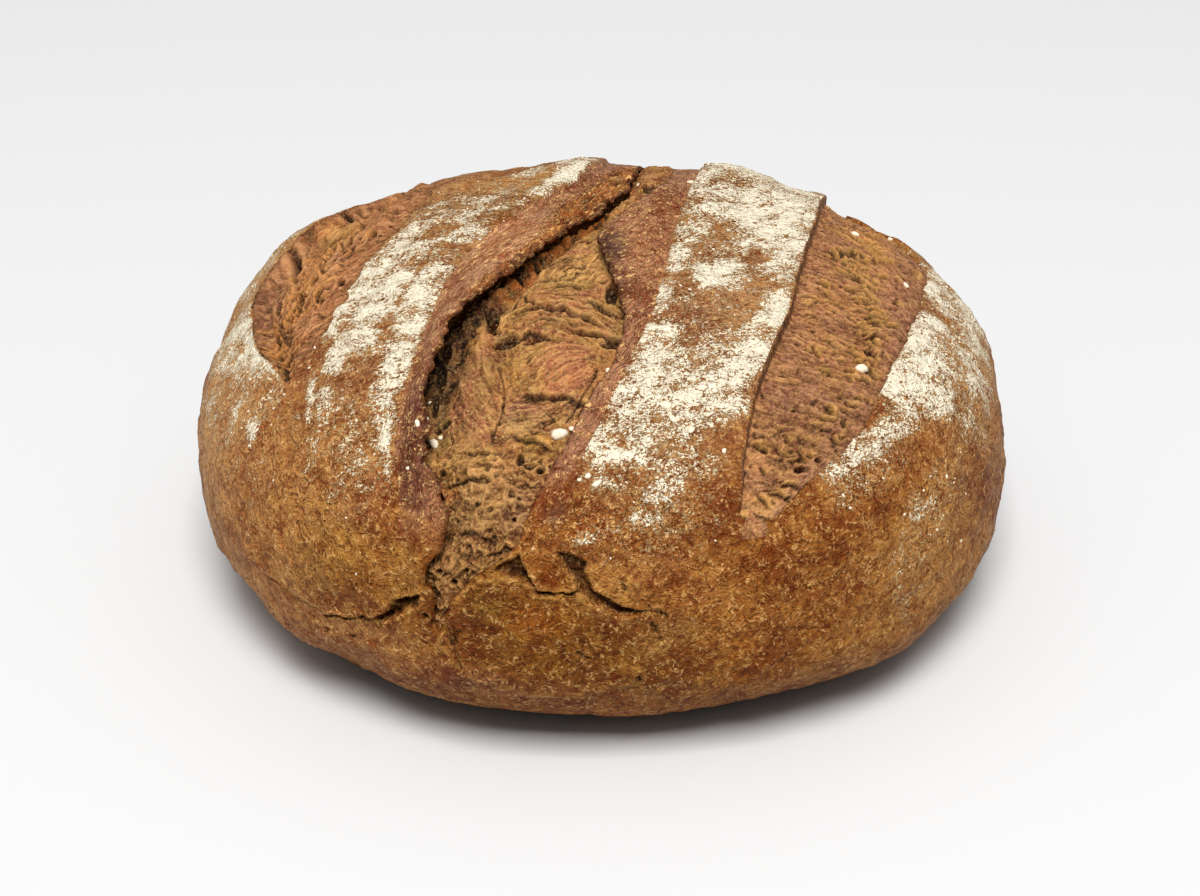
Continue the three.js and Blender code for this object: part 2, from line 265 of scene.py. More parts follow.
RAGGED = [  # coarse and fine wandering of each edge in millimetres
    (0.5, 0.2), (0.8, 0.4), (0.4, 0.25), (1.5, 1.3), (0.9, 0.7), (0.5, 0.25), (0.3, 0.15), (0.5, 0.25),
]
STRIPS = ["left end", "left slash", "left band", "left ear", "burst",
          "right ear", "right band", "right slash", "right end"]
(LEFT_END, LEFT_SLASH, LEFT_BAND, LEFT_EAR, BURST,
 RIGHT_EAR, RIGHT_BAND, RIGHT_SLASH, RIGHT_END) = range(len(STRIPS))
OPEN = {LEFT_SLASH: (45, 52, 146, 164), BURST: (4, 9, 142, 160), RIGHT_SLASH: (20.5, 25, 152, 170)}
PINCH, PINCH_TURN = 0.3, 12.0  # a closed slash narrows to this share, over these degrees past its ends


def openness(strip, turn):
    """How far a slash has opened at a turn: 0 closed, 1 fully open."""
    return window(*OPEN[strip], turn)


def edge_lines(turn, ragged=True):
    """X of the two tips and the eight edges at each turn, one row per line."""
    turn = np.asarray(turn, float)
    lines = [np.full(turn.shape, -WIDTH / 2)]
    lines += [through(list(zip(TURNS, xs)), turn) for xs in EDGES.values()]
    lines += [np.full(turn.shape, WIDTH / 2)]
    lines = np.array(lines)
    if ragged:
        for index, (coarse, fine) in enumerate(RAGGED, 1):
            along = np.stack([turn * 1.6, 0 * turn + 40 * index, 0 * turn], -1)
            lines[index] += coarse * unevenness(along, 9.0) + fine * unevenness(along + 7, 2.6)
    # a closed slash needs few columns, so its strip is pinched there
    for strip, (low, _, _, high) in OPEN.items():
        middle, half = (lines[strip] + lines[strip + 1]) / 2, (lines[strip + 1] - lines[strip]) / 2
        wide = PINCH + (1 - PINCH) * window(low - PINCH_TURN, low, high, high + PINCH_TURN, turn)
        lines[strip], lines[strip + 1] = middle - half * wide, middle + half * wide
    return lines


check = edge_lines(np.array([20.0, 60.0, 100.0]))
print("burst is", (check[5] - check[4]).round(1), "mm wide at turns 20, 60 and 100")

# %% [markdown]
# ## How high each strip stands
# Where the middle slash burst, the skin on both sides curled up into lips,
# which bakers call ears, and the crumb tore open between them. The outer
# slashes are shallow troughs with a sharp step on the side the blade leant
# over. Short tables say how strongly each mark shows along the turn, and the
# lift of a place is measured square to the dome.

# %% Strength of the marks, as pairs of turn and millimetres
LEFT_LIP_RISE = [(0, 1.2), (14, 2), (24, 2.6), (40, 4), (60, 5), (85, 5), (105, 3.6), (125, 1.6), (160, 0)]
RIGHT_LIP_RISE = [
    (0, 0.5), (12, 2.2), (20, 0.9), (30, 0.6), (45, 1.8), (60, 3.6), (85, 4), (105, 3), (160, 0),
]
HOLLOW_DEPTH = [
    (0, 1), (10, 3), (24, 5.5), (38, 8), (55, 9), (75, 7), (95, 5), (110, 4.6), (130, 4.6), (148, 3),
    (160, 0),
]
LEFT_UNDERCUT = [
    (0, 0.8), (20, 2.2), (32, 2.6), (45, 4.2), (60, 5), (80, 4.4), (100, 1.8), (125, 0.5), (160, 0),
]
RIGHT_UNDERCUT = [
    (0, 0.8), (12, 1.6), (20, 0.4), (40, 0.3), (52, 2), (65, 3), (85, 2.2), (105, 1.2), (160, 0),
]
SWELLINGS = [  # X, turn, reach along X, reach along the turn, lift
    (-98, 134, 15, 18, 3), (-119, 110, 9, 18, -2.6), (-68, 142, 16, 12, -1.8), (-30, 146, 13, 12, -1.9),
    (0, 148, 9, 10, 1.2), (41, 142, 10, 12, 2), (65, 146, 9, 10, -1.6), (94, 147, 11, 13, -2.4),
    (108, 130, 9, 12, -1), (120, 116, 8, 16, 1.2), (90, -12, 24, 10, 1.9), (8, -12, 22, 10, -0.5),
    (-72, -12, 13, 10, -2.4), (-108, -10, 10, 10, -1.8),
]
turns_round = np.linspace(-UNDER, 180 + UNDER, 521)
on_axis = np.zeros(len(turns_round))
girth = dome_point(on_axis, row_angle(turns_round, on_axis))
steps = np.linalg.norm(np.diff(girth, axis=0), axis=1)
arc_length = np.concatenate([[0], np.cumsum(steps)])
arc_length = arc_length - np.interp(0, turns_round, arc_length)


def arc(turn):
    """Millimetres over the dome from the front belly line to a turn, measured at X = 0."""
    return np.interp(turn, turns_round, arc_length)


def swell(point, x, turn):
    """Broad bells of lift, plus soft unevenness at 62 and 26 mm."""
    lift = 0.7 * unevenness(point, 62.0) + 0.6 * unevenness(point + 91, 26.0)
    for at_x, at_turn, reach_x, reach_turn, rise in SWELLINGS:
        lift = lift + rise * bell(x, at_x, reach_x) * bell(turn, at_turn, reach_turn)
    return lift


def crumb_base(across, turn):
    """Height of the torn crumb: a torn wall under the left lip, deepest at its foot, then a climb to the
    right, with one boulder and one lobe."""
    climb = 0.62 * ramp(0, 0.42, across) + 0.16 * ramp(0.6, 1, across)
    boulder = 2.6 * bell(across, 0.66, 0.24) * bell(turn, 50, 9)
    lobe = 2.5 * bell(across, 0.26, 0.12) * bell(turn, 42, 9)
    depth = through(HOLLOW_DEPTH, turn)
    wall = (0.3 + 0.5 * ramp(62, 74, turn)) * (depth + 0.5)
    wall = wall * (1 - ramp(0.05, 0.16, across)) * window(40, 52, 100, 122, turn)
    return -depth * (1 - climb) + np.minimum(wall, depth * (1 - climb)) + boulder + lobe


print("over the crown from belly to belly:", arc(180.0).round(1), "mm")

# %% [markdown]
# ## Threads of pulled dough
# Dough is a web of gluten, and where it tore the web dried as threads that all
# lie the way the dough was pulled. Modelling each thread would be endless, so
# they are combed instead: chance numbers on a flat grid are averaged along a
# short walk that follows the pull. What lies on one walk becomes alike, and the
# grid turns into threads. The pull itself is a few named directions, mixed.

# %% Combing
THREAD = 0.36  # millimetres between the knots of the flat grid, about the width of a thread


def pull(x, s, pulls, swirls):
    """The way of the threads as an angle; twice each angle is mixed, so that opposite ways agree."""
    flat = np.stack([x, s, 0 * x], -1)
    turn = np.interp(s, arc_length, turns_round)
    way = 0.55 * np.exp(2j * np.pi * (1.3 * unevenness(flat, 6.5) + 0.8 * unevenness(flat + 40, 2.6)))
    for at_x, at_turn, reach_x, reach_turn, strength, degrees in pulls:
        share = strength * oval(x, turn, at_x, at_turn, reach_x, reach_turn)
        way = way + share * np.exp(2j * np.radians(degrees))
    for at_x, at_turn, reach, strength in swirls:
        round_x, round_s = x - at_x, s - arc(at_turn)
        share = strength * np.exp(-(((round_x**2 + round_s**2) / reach**2) ** 2))
        way = way + share * np.exp(2j * (np.arctan2(round_s, round_x) + np.pi / 2))
    return np.angle(way) / 2


def combed(x, s, pulls, swirls, coarse=1.0, walk=2.6, salt=0.0):
    """Chance averaged over a walk each way along the pull; its mean is 0 and its spread 1."""
    knot = THREAD * coarse
    low = np.array([x.min(), s.min()]) - 2 * knot
    shape = (np.array([x.max() - low[0], s.max() - low[1]]) / knot).astype(int) + 3
    i, j = np.meshgrid(np.arange(shape[0]), np.arange(shape[1]), indexing="ij")
    grain = chance(i, j, 0.0 * i, salt)
    way = pull(low[0] + i * knot, low[1] + j * knot, pulls, swirls)
    step = np.stack([np.cos(way), np.sin(way)], -1)
    total = np.zeros(i.shape)
    for side in (1, -1):
        at, last = np.stack([i, j], -1).astype(float), np.zeros(i.shape + (2,))
        for _ in range(int(walk / THREAD)):
            a = np.clip(np.rint(at[..., 0]).astype(int), 0, shape[0] - 1)
            b = np.clip(np.rint(at[..., 1]).astype(int), 0, shape[1] - 1)
            total += grain[a, b]
            turns_back = (step[a, b] * last).sum(-1, keepdims=True) < 0
            last = step[a, b] * np.where(turns_back, -1, 1)  # a walk never turns back
            at = at + side * last
    total = (total - total.mean()) / total.std()
    u, v = (x - low[0]) / knot, (s - low[1]) / knot
    a, b = np.floor(u).astype(int), np.floor(v).astype(int)
    u, v = u - a, v - b
    near = total[a, b] * (1 - u) + total[a + 1, b] * u
    far = total[a, b + 1] * (1 - u) + total[a + 1, b + 1] * u
    return near * (1 - v) + far * v


def softened(values, reach):
    """Each value becomes the mean of its neighbours on the grid up to a reach away, twice over."""
    for axis in (0, 1, 0, 1):
        padded = np.pad(values, [(reach + 1, reach) if axis == a else (0, 0) for a in (0, 1)], mode="edge")
        total, count = np.cumsum(padded, axis), np.arange(values.shape[axis])
        values = (np.take(total, count + 2 * reach + 1, axis) - np.take(total, count, axis)) / (2 * reach + 1)
    return values


print("0 0 8 0 0 softened:", softened(np.tile([0.0, 0.0, 8.0, 0.0, 0.0], (5, 1)), 1)[0].round(2))


# %% Lift of every strip
def sunk(turn):
    """How far both ears lie below the floured skin, more at the back."""
    return 0.7 + 1.8 * ramp(112, 135, turn)


def ear_lift(rise, inward, turn):
    """A step down from the floured skin, then a quarter sine up to the lip; inward is 0 at the skin and 1 at
    the lip."""
    step = 0.7 * ramp(0, 0.06, inward) + (sunk(turn) - 0.7) * ramp(0, 0.15, inward)
    return rise * np.sin(np.pi / 2 * np.clip(inward, 0, 1) ** 0.9) - step


def left_slash_floor(place, from_edge, turn):
    """Skin edge, a step down, then a slow climb, with a torn ridge near the inner side."""
    trough = 4.4 * ramp(0, 3.4, from_edge) * (1 - 0.8 * ramp(0.25, 0.95, place))
    return 1.2 - trough + 2 * bell(place, 0.78, 0.12) * ramp(92, 112, turn)


def right_slash_floor(place, from_edge, turn):
    """Skin edge, a steep step down, then a slow climb to the far side; deeper at the back."""
    trough = 2.7 * ramp(0, 1.0, from_edge) - 1.2 * ramp(0.3, 1, place)
    return 1.5 - trough - 1.8 * ramp(100, 135, turn) * ramp(0, 0.4, place)


def nose(u, back, thickness, top, floor):
    """Path round a lip and under it: shift towards the gap, and lift, for u from 0 on top to 1 on the hidden
    floor."""
    out = 0.5 * np.interp(u, [0, 0.15, 0.35, 0.55, 1], [0, 1, 0.9, 0, 0])
    shift = out - back * np.interp(u, [0, 0.35, 0.55, 0.75, 1], [0, 0, 0.25, 0.7, 1])
    under = top - thickness * np.interp(u, [0, 0.15, 0.35, 0.55, 0.75], [0, 0.2, 0.55, 0.85, 1])
    return shift, under + (floor - under) * ramp(0.75, 1, u)


NOSE = 0.3  # share of the burst strip that goes round each lip
HIDDEN = 3.0  # the skin's own floor lies this far below the torn crumb that covers it in the burst
HIDDEN_IN_CUTS = 7.5  # and this far in the two outer slashes, whose pits are deeper


def marked_place(strip, place, turn, left, right):
    """X and lift of a place on the baked skin, before unevenness; every argument is an array of one shape."""
    x = left + (right - left) * place
    burst = openness(BURST, turn)
    in_left, in_right = openness(LEFT_SLASH, turn), openness(RIGHT_SLASH, turn)
    # the skin of both ends rises or dips a little beside the slash
    ends = [in_left * 1.2 * np.exp(np.minimum(x - right, 0) / 6),
            in_right * (0.8 * ramp(0, 0.05, place) - 0.3) * np.exp(np.minimum(left - x, 0) / 12)]
    buried = HIDDEN_IN_CUTS * window(0, 0.05, 0.95, 1, place)
    left_floor = left_slash_floor(place, x - left, turn) - buried
    right_floor = right_slash_floor(place, x - left, turn) - buried
    # the floured bands bulge, and at the back they stand higher towards the burst
    bulge, stand = 0.9 * np.sin(np.pi * place), 1.6 * window(92, 112, 132, 150, turn)
    bands = [burst * (bulge + stand * ramp(0.5, 1, place)),
             burst * (bulge + stand * ramp(0.5, 1, 1 - place)) + in_right * 1.5 * ramp(0.6, 1, place)]
    # in the burst the skin goes round each lip, back under it, and down to its hidden floor
    left_rise, right_rise = through(LEFT_LIP_RISE, turn), through(RIGHT_LIP_RISE, turn)
    thick = 2.0 * ramp(0, 6, through(HOLLOW_DEPTH, turn))
    left_shift, left_under = nose(
        np.clip(place / NOSE, 0, 1), through(LEFT_UNDERCUT, turn), thick,
        left_rise - sunk(turn), crumb_base(0.0, turn) - HIDDEN)
    right_shift, right_under = nose(
        np.clip((1 - place) / NOSE, 0, 1), through(RIGHT_UNDERCUT, turn), thick,
        right_rise - sunk(turn), crumb_base(1.0, turn) - HIDDEN)
    middle = np.clip((place - NOSE) / (1 - 2 * NOSE), 0, 1)
    floor_x = left + left_shift + (right - right_shift - left - left_shift) * middle
    noses = [place < NOSE, place > 1 - NOSE]
    gap_x = np.select(noses, [left + left_shift, right - right_shift], floor_x)
    gap_lift = np.select(noses, [left_under, right_under], crumb_base(middle, turn) - HIDDEN)
    lift = np.select([strip == s for s in range(len(STRIPS))], [
        ends[0], in_left * left_floor, bands[0], burst * ear_lift(left_rise, place, turn), burst * gap_lift,
        burst * ear_lift(right_rise, 1 - place, turn), bands[1], in_right * right_floor, ends[1]])
    return np.where(strip == BURST, x + (gap_x - x) * burst, x), lift


print("left lip at turn 60 rises", through(LEFT_LIP_RISE, 60.0).round(1),
      "mm over a hollow", through(HOLLOW_DEPTH, 60.0).round(1), "mm deep")

# %% [markdown]
# ## Small marks in the skin
# The front of the loaf cracked where the burst ran out: a torn plate on the
# left, a rounded one in the middle, and a crack to the right. A crack is a
# groove along a broken line, and its distance is disturbed by noise so that
# its banks crumble. Where the skin stretched, it lies in fine wrinkles.

# %% Where the small marks are
TEARS = [  # outlines of X and turn where the skin gaped, with the depth in millimetres
    ([(-12.3, 17.2), (-8, 16.6), (-5, 15.6), (-4, 13.5), (-2, 12.1), (5, 9.9), (9.5, 9.3), (7, 8.6),
      (3, 8.8), (-1, 10.1), (-5, 11.4), (-8, 11.4), (-7.3, 13.4), (-10.3, 16)], 2.4),
    ([(-29, 14.4), (-25, 15.8), (-22.6, 16.4), (-19.8, 13.2), (-17.2, 11.9), (-21.5, 13.3),
      (-26.5, 13.8)], 2.2),
    ([(-62, 4.5), (-57.5, 7.3), (-53, 8.9), (-49.5, 9.7), (-50.5, 8.2), (-54, 6.8), (-58, 4.9),
      (-61, 3.7)], 1.3),
]
PLATES = [  # outlines of X and turn of skin that was pushed up, with its height in millimetres
    ([(-22.3, 16.6), (-17, 17.4), (-12.8, 17.3), (-10.4, 16), (-7.4, 13.4), (-8.4, 11.6), (-16.6, 11.7),
      (-19.4, 13.1)], 0.8),
    ([(-41, 8), (-39, 10.6), (-36, 12), (-32, 13.2), (-26.5, 13.7), (-21.5, 13.2), (-17, 11.4), (-5, 11.2),
      (-1, 9.9), (3, 8.6), (8, 8.2), (14, 3), (8, -4), (-12, -9), (-38, -4), (-46, 3)], 0.9),
    ([(-49.5, 9.9), (-54, 9), (-58.5, 7.2), (-62.5, 4.6), (-70, 3.2), (-78, 2.2), (-96, 4), (-96, 20),
      (-60, 22), (-47, 20)], 0.7),
]
CRACKS = [  # points of X and turn, half width and depth in millimetres
    ([(8.5, 8.9), (11, 9.3), (15, 9.2), (17.5, 8.7)], 0.35, 0.9),
    ([(12.5, 7.6), (14.5, 6), (16.2, 4.4)], 0.4, 0.8), ([(-18, 11.6), (-14, 11.3), (-8.5, 11.3)], 0.5, 1.8),
    ([(-61, 4.6), (-66.5, 3.8), (-72.5, 2.3), (-78, 1.5)], 0.5, 0.9),
    ([(8.6, 0.6), (9.2, -1), (10.4, -2.4), (11, -4.6)], 0.4, 0.9),
    ([(-38.5, 5.6), (-39.4, 4.2), (-40.4, 3)], 0.4, 0.8), ([(-6, 3.2), (-3.4, 1.6)], 0.3, 0.5),
    ([(4.5, 13.4), (6.4, 12.1)], 0.3, 0.6),
]
PORES = [  # X, turn, reach along X, reach along the surface and depth in millimetres
    (-55.2, 8.1, 2.3, 1.4, 2.6), (-52.3, 8.9, 1.2, 1, 1.8), (-56.8, 6.4, 1.2, 1.3, 2.2),
    (-58.9, 5.3, 1, 1.3, 2), (-61.6, 4.4, 1.3, 1, 1.8), (-66.5, 3.7, 1.7, 0.9, 1.6),
    (-72.6, 2.3, 1.3, 0.7, 1.2), (-48.2, 6.7, 1, 0.8, 1.6), (-45, 6.2, 0.9, 0.9, 1.6),
    (-43.4, 6.4, 0.6, 0.8, 1.2), (-50.4, 9.3, 1, 0.8, 1.4), (-78.5, -2, 0.9, 0.8, 0.9),
    (-70.5, -1.4, 0.7, 0.8, 0.8), (12.5, 9.8, 0.8, 0.6, 0.8), (-40.6, 11.6, 0.9, 0.8, 1.2),
]
print("tears, plates, cracks, pores:", len(TEARS), len(PLATES), len(CRACKS), len(PORES))


# %% Lift of the small marks
def crack_distance(flat, points):
    """Millimetres from each flat place (X, arc) to the nearest stretch of a broken line."""
    line = np.array([(x, arc(turn)) for x, turn in points])
    nearest = np.full(flat.shape[:-1], 99.0)
    for start, end in zip(line[:-1], line[1:]):
        along = end - start
        t = np.clip(((flat - start) @ along) / (along @ along), 0, 1)
        nearest = np.minimum(nearest, np.linalg.norm(flat - start - t[..., None] * along, axis=-1))
    return nearest


def outline_distance(flat, outline):
    """Millimetres to a closed outline, below zero inside it: there a line to the right crosses it an odd
    number of times."""
    line = np.array([(x, arc(turn)) for x, turn in outline])
    away, inside = crack_distance(flat, outline + outline[:1]), np.zeros(flat.shape[:-1], bool)
    for (x0, s0), (x1, s1) in zip(line, np.roll(line, -1, axis=0)):
        meets = x0 + (x1 - x0) * (flat[..., 1] - s0) / (s1 - s0 + 1e-9)
        inside ^= ((s0 > flat[..., 1]) != (s1 > flat[..., 1])) & (flat[..., 0] < meets)
    return np.where(inside, -away, away)


def front_marks(point, x, turn):
    """Plates, tears, cracks and pores, all with crumbling edges: their lift, a mask of what is torn, and one
    of pale rims."""
    s = arc(turn)
    flat = np.stack([x, s], -1)
    stray = [unevenness(point + shift, 3.4) + 0.6 * unevenness(point + shift, 1.5) for shift in (0, 23)]
    ragged = flat + 0.75 * np.stack(stray, -1)
    lift, inside, rim = np.zeros(x.shape), np.zeros(x.shape), np.zeros(x.shape)
    for outline, height in PLATES:
        away = outline_distance(ragged, outline)
        lift += height * (1 - ramp(-0.1, 0.6, away)) * (0.45 + 0.55 * np.exp(np.minimum(away, 0) / 6))
        rim = np.maximum(rim, bell(away, -0.5, 0.7))
    for outline, depth in TEARS:
        away = outline_distance(ragged, outline)
        gap = 1 - ramp(-0.6, 0.3, away)
        lift += 0.5 * bell(away, 0.9, 0.8) - gap * (depth - 0.9 * crests(point, 2.6, 2))
        inside, rim = np.maximum(inside, gap), np.maximum(rim, bell(away, 0.6, 0.6))
    for points, half, depth in CRACKS:
        away = crack_distance(ragged, points) + 0.35 * unevenness(point, 4.0)
        groove = 1 - ramp(half * 0.6, half * 1.2, away)
        lift += 0.4 * bell(away, half + 0.7, 0.7) - depth * groove
        inside, rim = np.maximum(inside, groove), np.maximum(rim, 0.6 * bell(away, half + 0.6, 0.6))
    for at_x, at_turn, reach_x, reach_s, depth in PORES:
        away = np.hypot((x - at_x) / reach_x, (s - arc(at_turn)) / reach_s) + 0.3 * stray[0]
        pit = 1 - ramp(0.55, 1.1, away)
        lift -= depth * pit
        inside = np.maximum(inside, pit)
    return lift, inside, rim * (1 - inside)


def skin_relief(point, x, turn, strip):
    """Blisters, stretch wrinkles running with the pull of the burst, and fine roughness."""
    s = arc(turn)
    # 35 degrees up from X, and drawn out along it
    pulled = np.stack([(x * 0.82 + s * 0.57) / 5.5, s * 0.82 - x * 0.57, 0 * x], -1)
    wrinkled = bell(x, 8, 34) * bell(turn, 14, 11)
    wrinkles = wrinkled * 0.55 * layered(pulled, 2.6, 2)
    blisters = 0.75 * layered(point, 11.0, 3) + 0.42 * unevenness(point, 3.3)
    ear = (strip == LEFT_EAR) | (strip == RIGHT_EAR)
    return wrinkles + np.where(ear, 0.45, 1.0) * blisters


print("arc from the belly line to the right crack:", arc(17.0).round(1), "mm")

# %% [markdown]
# ## Flour, colour and shade as numbers on the mesh
# The loaf proved in a floured basket, so its skin carries rice flour in worn
# patches, and every slash is free of it because it opened later. Patches and
# tones are soft ovals, listed with X, turn, their reach and their strength.
# They are kept on the mesh as attributes, and the materials break them up.

# %% Colours, and how ovals of them are laid over one another
def linear(hexed):
    """An sRGB hex colour as linear red, green and blue."""
    s = np.array([int(hexed[i:i + 2], 16) for i in (1, 3, 5)]) / 255
    return np.where(s <= 0.04045, s / 12.92, ((s + 0.055) / 1.055) ** 2.4)


def toned(x, turn, base, touches):
    """A base colour, then each touch of X, turn, reaches, strength and colour mixed over it."""
    colour = np.broadcast_to(linear(base), x.shape + (3,)).copy()
    for at_x, at_turn, reach_x, reach_turn, strength, hexed in touches:
        share = (strength * oval(x, turn, at_x, at_turn, reach_x, reach_turn))[..., None]
        colour = colour * (1 - share) + linear(hexed) * share
    return colour


def mixed(first, second, share):
    """The first colour, moved by a share towards the second; either may be a hex colour."""
    first, second = [linear(c) if isinstance(c, str) else c for c in (first, second)]
    return first + (second - first) * share[..., None]


def drifted(colour, drift, bright, more, deep, less):
    """The colour moves towards a bright one where the drift is above zero, and towards a deep one below."""
    share = np.where(drift > 0, more * drift, -less * drift)
    return colour + (np.where(drift[..., None] > 0, linear(bright), linear(deep)) - colour) * share[..., None]


print("golden brown, linear:", linear("#925518").round(3))

# %% Where the flour and the touches of colour lie
FLOUR = {  # by strip: place across, turn, their reaches, strength; a strength below zero wipes flour off
    LEFT_END: [
        (0.5, 42, 0.6, 28, 0.16), (0.87, 72, 0.26, 26, 0.97), (0.95, 62, 0.1, 14, 0.9),
        (0.55, 85, 0.3, 32, 0.72), (0.3, 50, 0.2, 16, 0.35), (0.70, 35, 0.06, 4, 0.75),
        (0.57, 40, 0.12, 5, 0.4), (0.85, 40, 0.12, 4, 0.3), (0.5, 35, 0.06, 4, 0.4),
        (0.75, 68, 0.1, 5, -0.45), (0.5, 130, 0.5, 26, 0.5), (0.74, 55, 0.3, 7, 0.4),
    ],
    LEFT_BAND: [
        (0.5, 71, 0.64, 18, 0.97), (0.13, 88, 0.2, 15, 0.95), (0.75, 97, 0.34, 5, 0.92),
        (0.45, 94, 0.24, 8, 0.65), (0.34, 52, 0.12, 8, 0.97), (0.85, 50, 0.14, 12, 0.93),
        (0.58, 51, 0.16, 6, 0.5), (0.19, 41, 0.05, 6, 0.85), (0.32, 38, 0.08, 5, 0.62),
        (0.88, 37, 0.08, 8, 0.75), (0.76, 38, 0.07, 6, 0.5), (0.91, 29, 0.04, 5, 0.5),
        (0.2, 105, 0.2, 5, 0.6), (0.5, 108, 0.55, 7, 0.48), (0.4, 119, 0.5, 10, 0.42),
        (0.63, 74, 0.025, 26, -0.4), (0.93, 126, 0.14, 10, 0.95), (0.88, 138, 0.14, 7, 0.9),
        (0.65, 133, 0.16, 5, 0.7), (0.5, 34, 0.5, 8, 0.32), (0.08, 62, 0.1, 9, 0.5),
        (0.4, 156, 0.4, 12, 0.5), (0.5, 27, 0.6, 9, 0.17),
    ],
    RIGHT_BAND: [
        (0.5, 127, 0.7, 26, 0.98), (0.72, 114, 0.36, 12, 0.9), (0.12, 100, 0.16, 9, 0.88),
        (0.78, 98, 0.34, 10, 0.92), (0.4, 92, 0.35, 5, 0.6), (0.06, 85, 0.1, 8, 0.93),
        (0.42, 78, 0.24, 8.5, 1), (0.86, 82, 0.16, 10, 0.85), (0.05, 67, 0.08, 9, 0.8),
        (0.9, 64, 0.13, 8, 0.98), (0.12, 54, 0.19, 6, 0.85), (0.86, 52, 0.24, 7.5, 0.96),
        (0.5, 45, 0.64, 7, 0.8), (0.62, 38, 0.4, 5, 0.82), (0.1, 38, 0.22, 6, 0.8),
        (0.54, 34.5, 0.1, 2.6, 0.95), (0.2, 32, 0.3, 4, 0.72), (0.5, 21, 0.6, 7, 0.12),
        (0.35, 62, 0.2, 5.5, -0.9), (0.62, 67, 0.1, 7, -0.85), (0.44, 54, 0.14, 4, -0.55),
        (0.38, 100, 0.12, 6, -0.5), (0.62, 86, 0.06, 8, -0.6), (0.2, 90.5, 0.16, 2, -0.5),
        (0.45, 29, 0.42, 5, 0.45), (0.6, 25, 0.2, 7, 0.35), (0.25, 18.6, 0.09, 0.8, 0.5),
        (0.37, 19.8, 0.09, 0.8, 0.6), (0.5, 21.2, 0.1, 0.9, 0.65), (0.5, 148, 0.5, 14, 0.75),
        (0.3, 168, 0.3, 9, 0.35), (0.3, 131, 0.2, 5, -0.35), (0.5, 72, 0.5, 22, 0.34),
        (0.4, 77, 0.2, 6.5, 0.9),
    ],
    RIGHT_END: [
        (0.16, 48, 0.27, 9, 0.98), (0.2, 35, 0.13, 4.5, 0.88), (0.4, 41, 0.13, 5, 0.8),
        (0.08, 62, 0.14, 9, 0.92), (0.15, 71, 0.17, 6, 0.85), (0.35, 66, 0.25, 14, 0.62),
        (0.25, 101, 0.42, 20, 0.97), (0.65, 78, 0.25, 24, 0.72), (0.5, 50, 0.3, 14, 0.52),
        (0.5, 121, 0.5, 22, 0.82), (0.2, 79, 0.14, 3, -0.5), (0.7, 45, 0.15, 16, 0.48),
        (0.1, 30, 0.15, 4, 0.58), (0.25, 26, 0.15, 5, 0.32), (0.6, 20, 0.12, 10, 0.3),
        (0.5, 5, 0.1, 8, 0.2),
    ],
}
SKIN_TOUCHES = [  # X, turn, reach along X, reach along the turn, strength, colour
    # the long touches at X -122 and 122 make both flanks lighter: painted light standing in for the white
    # room round the sides
    (0, 66, 150, 44, 0.8, "#986444"), (-122, 60, 30, 170, 0.85, "#cb955e"),
    (122, 60, 28, 170, 0.7, "#b57e48"), (-70, 128, 60, 22, 0.85, "#c08c5a"),
    (-45, 116, 26, 10, 0.75, "#7a4c36"), (-92, 6, 28, 26, 0.75, "#bd8549"),
    (-56, 8, 26, 12, 0.5, "#8f5a24"), (-60, 14, 16, 7, 0.35, "#a8743a"), (-64, 22, 9, 6, 0.4, "#9a5c3a"),
    (-80, 6, 14, 4, 0.35, "#8f6a2e"), (-52, 12, 5, 5, 0.4, "#9c6f2e"), (-6, 2, 30, 10, 0.7, "#774813"),
    (-14, 6, 18, 6, 0.4, "#8a5614"), (-31, 10, 7, 3.4, 0.6, "#8a6420"), (-18, 7.5, 10, 2.5, 0.5, "#a3591a"),
    (-36, -5, 15, 4.5, 0.65, "#85523a"), (11, -2, 9, 5, 0.5, "#916628"), (17, 5, 8, 4, 0.5, "#ac8048"),
    (-3, 20, 8, 2, 0.6, "#a5591f"), (-13, 22, 4, 2, 0.7, "#7a4a38"), (-72, 12, 14, 7, 0.5, "#a8762f"),
    (-80, -2, 26, 8, 0.4, "#a9713f"), (40, 0, 40, 12, 0.3, "#925a20"), (86, 2, 24, 14, 0.6, "#ad7334"),
    (-68, -5, 12, 4, 0.25, "#80503a"), (-72, -4, 24, 10, 0.65, "#b9804a"), (-10, -8, 24, 4, 0.4, "#8a5236"),
    (20, 0, 12, 7, 0.3, "#9a7132"), (12, 12, 18, 5, 0.5, "#b07a41"), (40, 8, 30, 8, 0.35, "#a8682f"),
    (28, 58, 9, 6, 0.6, "#8a5844"), (38, 64, 9, 8, 0.7, "#b4845c"), (60, 14, 40, 6, 0.25, "#9d6b33"),
    (95, 10, 26, 14, 0.5, "#a56e34"), (108, 24, 14, 10, 0.4, "#8f5a30"), (60, -14, 60, 7, 0.3, "#84532a"),
    (0, 180, 130, 40, 0.35, "#8a5530"),
]
EAR_TOUCHES = [
    (16, 88, 9, 26, 0.45, "#bd8258"), (-26, 96, 17, 26, 0.9, "#dea880"),
    (-10, 110, 14, 14, 0.35, "#8c5440"), (-52, 55, 5, 16, 0.35, "#8a5846"),
    (-50, 34, 6, 7, 0.75, "#74463c"), (-52, 26, 5, 5, 0.6, "#6f4338"), (2, 86, 5.5, 10, 0.97, "#4b3138"),
    (4, 68, 4, 8, 0.4, "#7d5646"), (-18, 30, 8, 6, 0.5, "#84503a"), (-14, 22, 10, 2.5, 0.9, "#9a5526"),
    (-4, 47, 6, 8, 0.4, "#84503c"), (-44, 20, 4, 3, 0.4, "#9a5c2a"),
]


